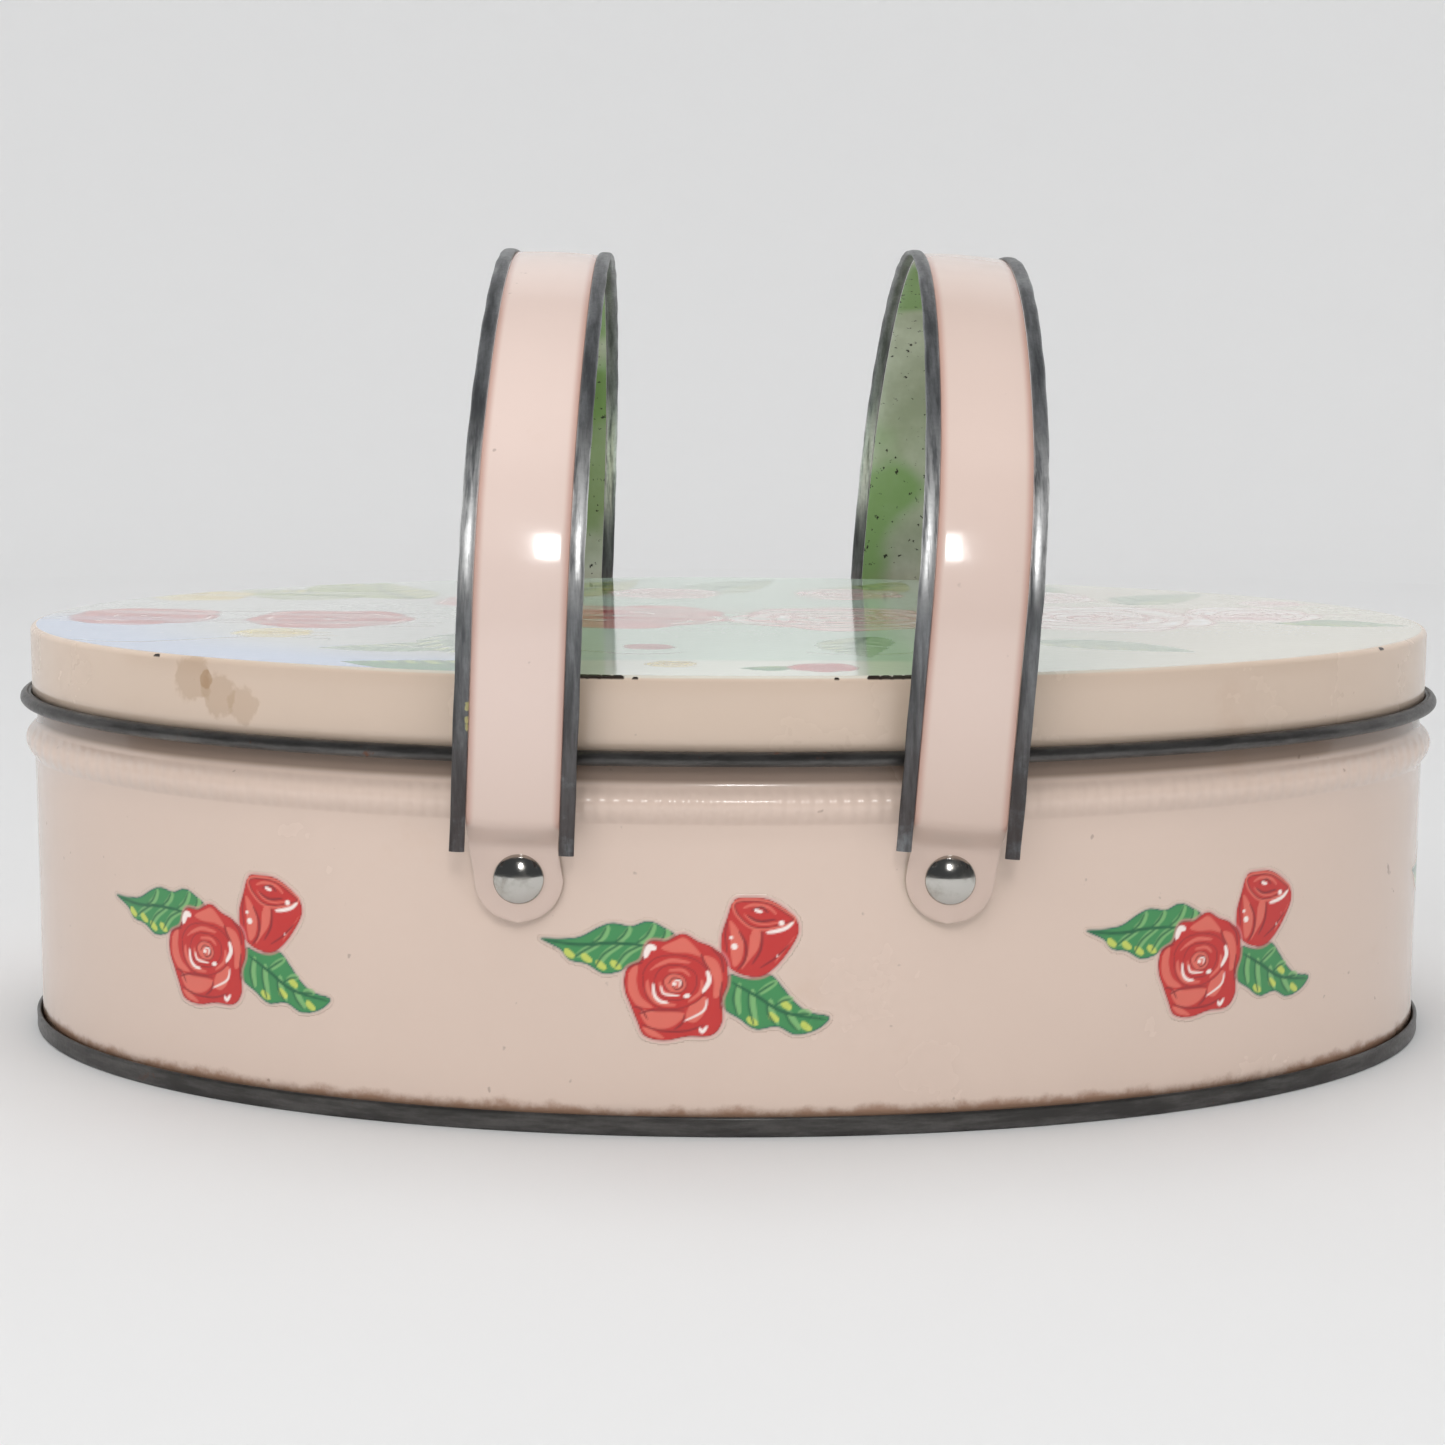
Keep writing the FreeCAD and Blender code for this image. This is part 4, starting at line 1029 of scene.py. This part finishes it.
def make_motifs(material):
    """Thin printed skins on the wall, one for each flower cluster."""
    step = PRINT_STEP / MM * 1
    columns, rows = int(50 / step) + 1, int(29 / step) + 1
    along, up = np.meshgrid(np.linspace(-23.0, 26.0, columns), np.linspace(-11.5, 16.5, rows))
    picture = Picture(along.ravel(), up.ravel(), hue(214, 189, 177), 0.22)
    paint_cluster(picture)
    shown = picture.cover.reshape(rows, columns) > 0.02
    used = shown[:-1, :-1] | shown[1:, :-1] | shown[:-1, 1:] | shown[1:, 1:]
    top = [(i * columns + j, i * columns + j + 1, (i + 1) * columns + j + 1, (i + 1) * columns + j)
           for i, j in zip(*np.nonzero(used))]
    sides = {}
    for face in top:
        for a, b in zip(face, face[1:] + face[:1]):
            if (b, a) in sides:
                del sides[(b, a)]
            else:
                sides[(a, b)] = True
    shift = rows * columns
    faces = top + [tuple(i + shift for i in reversed(face)) for face in top]
    faces += [(b, a, a + shift, b + shift) for a, b in sides]
    kept = np.unique(np.array(faces))
    renumber = np.full(2 * shift, -1)
    renumber[kept] = np.arange(len(kept))
    faces = renumber[np.array(faces)]
    for number, arc in enumerate(MOTIF_ARCS):
        turns = turn_at((arc + picture.x) * MM)
        height = (MOTIF_HEIGHT + picture.y) * MM
        skin = WALL + dents(turns, height)
        verts = np.concatenate([oval_point(turns, skin + 0.03 * MM, height),
                                oval_point(turns, skin - 0.12 * MM, height)])
        motif = add_mesh("rose_motif_%d" % (number + 1), verts[kept], faces, [material],
                         "tin")
        store_paint(motif, picture, kept)


# ---------------------------------------------------------------------------
# Lid

def make_lid(enamel, rim_tin, inner_tin, picture_material):
    """Lid: lacquered skirt with a rounded corner, curled bare edge, printed top."""
    lap = 1.4 * MM
    outside = [(0.0, CURL_HEIGHT), (0.0, CURL_HEIGHT + 3 * MM), (0.0, CURL_HEIGHT + 6 * MM),
               (0.0, CURL_HEIGHT + 9 * MM)]
    outside += arc_points((-LID_CORNER, LID_TOP - LID_CORNER), LID_CORNER, 0, 90, 8)
    outside += [(-LID_CORNER - 0.05 * MM, LID_TOP - 0.03 * MM), (-lap, LID_TOP - 0.08 * MM)]
    inside = [(-lap, LID_TOP - SHEET)]
    inside += arc_points((-LID_CORNER, LID_TOP - LID_CORNER), LID_CORNER - SHEET, 90, 0, 5)
    inside += [(-SHEET, CURL_HEIGHT)]
    sweep("lid_skirt", outside + inside, [enamel, inner_tin], "lid",
          inside_from=len(outside) + 1)
    curl = arc_points((CURL_MIDDLE, CURL_HEIGHT), CURL_RADIUS - 0.02 * MM, 90, -250, 22)
    curl += [(CURL_MIDDLE - 0.35 * MM, CURL_HEIGHT + 0.75 * MM),
             (CURL_MIDDLE - 0.05 * MM, CURL_HEIGHT + 0.95 * MM)]

    def unevenness(turns, height):
        """The hand-worn curl's slight flats."""
        wave = np.sin(23 * turns) * np.sin(7 * turns + 1) + 0.5 * np.sin(61 * turns + 2)
        outer = smoothstep(-0.2, 0.6, (height - CURL_HEIGHT) / CURL_RADIUS + 0.3)
        return -0.035 * MM * (1.5 + wave) * outer

    sweep("lid_curl", curl[::-1], [rim_tin], "lid", ["lid_shell"],
          wobble=unevenness)

    step = LID_STEP * 1
    across, deep = 2 * int(OVAL_X / step), 2 * int(OVAL_Y / step)
    u, v = np.meshgrid(np.linspace(-1, 1, across + 1), np.linspace(-1, 1, deep + 1))
    x = (OVAL_X - LID_CORNER) * u * np.sqrt(1 - v * v / 2)
    y = (OVAL_Y - LID_CORNER) * v * np.sqrt(1 - u * u / 2)
    picture = Picture(x.ravel() / MM, y.ravel() / MM, hue(230, 236, 230), 0.55)
    paint_lid(picture)
    picture.cover[:] = 1.0
    flat = np.full(x.size, LID_TOP)
    top = np.stack([x.ravel(), y.ravel(), flat], -1)
    under = np.stack([x.ravel(), y.ravel(), flat - SHEET], -1)
    faces = slab_faces(deep + 1, across + 1)
    material_of = np.zeros(len(faces), int)
    material_of[deep * across:2 * deep * across] = 1
    lid_top = add_mesh("lid_picture", np.concatenate([top, under]), faces,
                       [picture_material, inner_tin], "lid",
                       material_of=material_of)
    store_paint(lid_top, picture)
    sharpen(lid_top, 40)


# ---------------------------------------------------------------------------
# Handles

def arch_line(foot, per_leg, per_bend, per_arch):
    """The strap's inner face seen from its end, from the front foot to the rear one.

    Gives points (y, z) about the pivot and the outward normal at each.
    """
    rise, reach = CROWN - ARCH_START, LEG_FACE - BEND
    radius = (reach ** 2 + rise ** 2 - BEND ** 2) / (2 * (rise - BEND))
    middle = CROWN - radius
    meeting = math.pi - math.atan2(ARCH_START - middle, reach)
    front = [(-LEG_FACE, z, -1.0, 0.0) for z in np.linspace(foot, ARCH_START, per_leg)[:-1]]
    for a in np.linspace(math.pi, meeting, per_bend)[:-1]:
        front.append((BEND * math.cos(a) - reach, ARCH_START + BEND * math.sin(a), math.cos(a),
                      math.sin(a)))
    arch = [(radius * math.cos(a), middle + radius * math.sin(a), math.cos(a), math.sin(a))
            for a in np.linspace(meeting, math.pi - meeting, per_arch)]
    return front + arch + [(-y, z, -ny, nz) for y, z, ny, nz in reversed(front)]


def stand(side, points):
    """Points about a handle's pivot, leaned and moved to where the handle stands."""
    lean = Matrix.Rotation(LEANS[side], 3, "Y")
    rivet = Vector((SHIFTS[side], 0.0, 0.0))
    return [lean @ (Vector(point) - rivet) + PIVOTS[side] for point in points]


def strap_rows():
    """Centre-line rows of the web: tongue, jog, leg, arch and the same again at the rear.

    Each row is (y, z, outward y, outward z, half width) at the strap's inner face.
    """
    tongue = []
    for a in np.linspace(-90, 0, 12):
        z, half = WEB_HALF * math.sin(math.radians(a)), WEB_HALF * math.cos(math.radians(a))
        tongue.append((-TONGUE_FACE, z, -1.0, 0.0, max(half, 0.02 * MM)))
    tongue.append((-TONGUE_FACE, JOG_LOW - 1.2 * MM, -1.0, 0.0, WEB_HALF))
    jog = []
    for s in np.linspace(0, 1, 9):
        z = JOG_LOW - 0.6 * MM + s * (JOG_HIGH - JOG_LOW + 0.9 * MM)
        out = TONGUE_FACE + (LEG_FACE - TONGUE_FACE) * float(smoothstep(0, 1, s))
        slope = (LEG_FACE - TONGUE_FACE) / (JOG_HIGH - JOG_LOW) * 6 * s * (1 - s) / 1.5
        normal = Vector((-1.0, -slope)).normalized()
        jog.append((-out, z, normal.x, normal.y, WEB_HALF))
    middle = [(y, z, ny, nz, WEB_HALF) for y, z, ny, nz in arch_line(JOG_HIGH + 1.2 * MM, 9, 20, 81)]
    front = tongue + jog
    rear = [(-y, z, -ny, nz, half) for y, z, ny, nz, half in reversed(front)]
    return front + middle + rear


def make_handle(side, enamel, hem_tin, inner_tin):
    """One strap handle: web with tongues, and a folded hem along each edge."""
    body = side + "_handle_body"
    section = [(-1.0, 0.5, 0.0), (-1.0, 0.85, 0.03), (-1.0, 1.0, 0.15)]
    section += [(s, 1.0, 0.0) for s in np.linspace(-0.8, 0.8, 9)]
    section += [(1.0, 1.0, 0.15), (1.0, 0.85, 0.03), (1.0, 0.5, 0.0), (1.0, 0.15, 0.03),
                (1.0, 0.0, 0.15)]
    section += [(s, 0.0, 0.0) for s in np.linspace(0.8, -0.8, 9)]
    section += [(-1.0, 0.0, 0.15), (-1.0, 0.15, 0.03)]
    points, edges = [], []
    rows = strap_rows()
    for y, z, ny, nz, half in rows:
        half += HEM_LAP * float(smoothstep(JOG_LOW, JOG_HIGH, z))
        offset = SHIFTS[side] * float(1 - smoothstep(0, JOG_LOW, z))
        for across, layer, trim in section:
            x = offset + across * half - math.copysign(min(trim * MM, half * 0.5), across) * (trim > 0)
            out = layer * (STRAP + 0.32 * MM * (1 - across * across))
            points.append((x, y + ny * out, z + nz * out))
            edges.append(abs(across) * float(smoothstep(JOG_LOW, JOG_HIGH, z)))
    columns = len(section)
    faces = grid_faces(len(rows), columns, close_columns=True)
    inner = set(range(14, 28))
    material_of = [int(number % columns in inner) for number in range(len(faces))]
    last = (len(rows) - 1) * columns
    faces += [tuple(reversed(range(columns))), tuple(last + i for i in range(columns))]
    material_of += [0, 0]
    web = add_mesh(side + "_web", stand(side, points), faces, [enamel, inner_tin], body,
                   [side + "_handle"], material_of)
    web.data.attributes.new("edge", "FLOAT", "POINT").data.foreach_set("value", edges)
    sharpen(web, 60)
    make_hem(side, -1, hem_tin, body)
    make_hem(side, 1, hem_tin, body)


def make_hem(side, edge, tin, body):
    """The strap's edge folded over outward: a flattened roll from foot to foot."""
    width = STRAP_HALF - WEB_HALF - HEM_LAP
    thick = STRAP + HEM_RISE
    middle = (WEB_HALF + HEM_LAP + STRAP_HALF) / 2
    section = []
    for a in np.radians(np.arange(0, 360, 20)):
        across = math.copysign(abs(math.cos(a)) ** 0.8, math.cos(a)) * width / 2
        layer = math.copysign(abs(math.sin(a)) ** 0.85, math.sin(a)) * thick / 2 + thick / 2
        section.append((across, layer))
    rows = arch_line(HEM_LOW, 20, 26, 101)
    points = []
    for number, (y, z, ny, nz) in enumerate(rows):
        wave = math.sin(number * 0.83 + edge) * math.sin(number * 0.19 + 2 * edge + len(side))
        pinch = 0.10 * MM * (1 + wave)
        for across, layer in section:
            x = edge * middle + edge * across - edge * pinch * 0.6 * (across > 0)
            out = layer * (1 - 0.05 * (1 + wave))
            points.append((x, y + ny * out, z + nz * out))
    columns = len(section)
    faces = grid_faces(len(rows), columns, close_columns=True)
    if edge < 0:
        faces = [tuple(reversed(face)) for face in faces]
    last = (len(rows) - 1) * columns
    caps = [tuple(reversed(range(columns))), tuple(last + i for i in range(columns))]
    faces += [tuple(reversed(cap)) for cap in caps] if edge < 0 else caps
    name = "%s_hem_%s" % (side, "inner" if (edge > 0) == (side == "left") else "outer")
    hem = add_mesh(name, stand(side, points), faces, [tin], body)
    sharpen(hem, 55)


# ---------------------------------------------------------------------------
# Studio

def make_stage():
    """A pale round sweep: floor curving up into a wall, its front half unseen by gloss."""
    paper = Shader("paper")
    grain = paper.noise(60.0, 3.0)
    paper.bump(grain, 0.05 * MM)
    away = paper.node("ShaderNodeVectorMath", {0: paper.place()}, output="Value", operation="LENGTH")
    tone = paper.mix(paper.rise(away, 0.25, 1.1), (0.765, 0.765, 0.765), (0.835, 0.835, 0.835))
    tone = paper.mix(paper.maths("MULTIPLY", grain, 0.03), tone, (0.6, 0.6, 0.6))
    material = paper.finish(Base_Color=tone, Roughness=0.9)
    reach, curve, top = 1.35, 0.45, 1.5
    floor = [(0.001, 0.0), (0.25, 0.0), (reach - curve, 0.0)]
    wall = [(reach - curve + curve * math.sin(a), curve - curve * math.cos(a))
            for a in np.linspace(0, math.pi / 2, 13)] + [(reach, top)]
    for name, profile, start, span, in_gloss in (
        ("floor", floor, 0.0, 2, True), ("rear_sweep", wall, 0.0, 1, True),
        ("front_sweep", wall, math.pi, 1, False),
    ):
        angles = start + np.linspace(0, span * math.pi, 48 * span + 1)
        verts = [(r * math.cos(a), r * math.sin(a), z) for r, z in profile for a in angles]
        mesh = bpy.data.meshes.new(name)
        mesh.from_pydata(verts, [], grid_faces(len(profile), len(angles)))
        mesh.materials.append(material)
        mesh.polygons.foreach_set("use_smooth", [True] * len(mesh.polygons))
        paper_piece = bpy.data.objects.new(name, mesh)
        paper_piece.visible_glossy = in_gloss
        bpy.context.scene.collection.objects.link(paper_piece)


def add_light(name, place, target, size, power, glossy=True, size_y=None):
    """A soft rectangular lamp aimed at a point."""
    lamp = bpy.data.lights.new(name, "AREA")
    lamp.shape = "RECTANGLE"
    lamp.size, lamp.size_y, lamp.energy = size, size_y or size, power
    holder = bpy.data.objects.new(name, lamp)
    holder.location = place
    holder.rotation_euler = (Vector(target) - Vector(place)).to_track_quat("-Z", "Y").to_euler()
    holder.visible_glossy = glossy
    bpy.context.scene.collection.objects.link(holder)
    return holder


def make_lights():
    """Soft overhead box, a broad front fill and one small square lamp by the camera."""
    add_light("overhead", (0.0, 0.1, 1.45), (0, 0, 0), 1.5, 14.7, glossy=False)
    add_light("front_fill", (-0.5, -1.15, 0.85), (0, 0, 0.05), 1.0, 6.7, glossy=False)
    lamp = add_light("square_lamp", (0.03, -0.84, 0.52), (0, -0.08, 0.1), 0.10, 1.3, size_y=0.18)
    world = bpy.data.worlds.new("studio")
    world.use_nodes = True
    world.node_tree.nodes["Background"].inputs[0].default_value = (0.9, 0.95, 1.0, 1)
    world.node_tree.nodes["Background"].inputs[1].default_value = 0.07
    bpy.context.scene.world = world
    bpy.context.scene.view_settings.view_transform = "Standard"
    return lamp


def shade_lid(lamp):
    """Lets a lamp light everything except the lid, which would glare seen from behind."""
    lit = bpy.data.collections.new("lit_by_" + lamp.name)
    for piece in bpy.context.scene.objects:
        if piece.type == "MESH" and not piece.name.startswith("lid_"):
            lit.objects.link(piece)
    lamp.light_linking.receiver_collection = lit


def make_camera():
    """The photographer's place: a little above the lid, square on to the front."""
    camera = bpy.data.cameras.new("camera")
    camera.sensor_width, camera.lens = 36.0, 70.52
    camera.clip_start = 0.02
    holder = bpy.data.objects.new("camera", camera)
    swing, pitch, roll = -0.0098, -0.1447, 0.0044
    place = Matrix.Rotation(swing, 3, "Z") @ Vector((-1.2, -510.2, 127.9)) * MM
    turn = Matrix.Rotation(swing, 4, "Z") @ Matrix.Rotation(math.pi / 2 + pitch, 4, "X")
    holder.matrix_world = Matrix.Translation(place) @ turn @ Matrix.Rotation(roll, 4, "Z")
    bpy.context.scene.collection.objects.link(holder)
    bpy.context.scene.camera = holder


# ---------------------------------------------------------------------------

make_camera()
make_stage()
small_lamp = make_lights()

rim_tin = bare_tin("rim_tin", (0.066, 0.063, 0.061), (0.15, 0.145, 0.14), 0.5, 0.30,
                   (0.5, 0.5, 3.0), 0.75)
hem_tin = bare_tin("hem_tin", (0.11, 0.115, 0.12), (0.32, 0.33, 0.34), 0.2, 0.30,
                   (4.0, 0.5, 0.5), 0.7, hem_marks_and_highlight)
inner_tin = bare_tin("inner_tin", (0.45, 0.43, 0.38), (0.60, 0.58, 0.52), 0.3, 0.34)
wall_paint = wall_enamel()

make_wall(wall_paint, inner_tin)
make_lock_seam(wall_paint)
make_base(rim_tin, inner_tin)
make_rivets(nickel(), wall_paint)
make_motifs(printed("motif_print", (PINK, PINK_STAIN), 0.20))
make_lid(lid_enamel(), rim_tin, inner_tin, printed("lid_print", None, 0.10))
strap_enamel = handle_enamel()
mottled = mottled_tin()
for side in ("left", "right"):
    make_handle(side, strap_enamel, hem_tin, mottled)
for name, node in frame["nodes"].items():
    if name.endswith("_washer"):
        node.data.materials.clear()
        node.data.materials.append(inner_tin)

shade_lid(small_lamp)
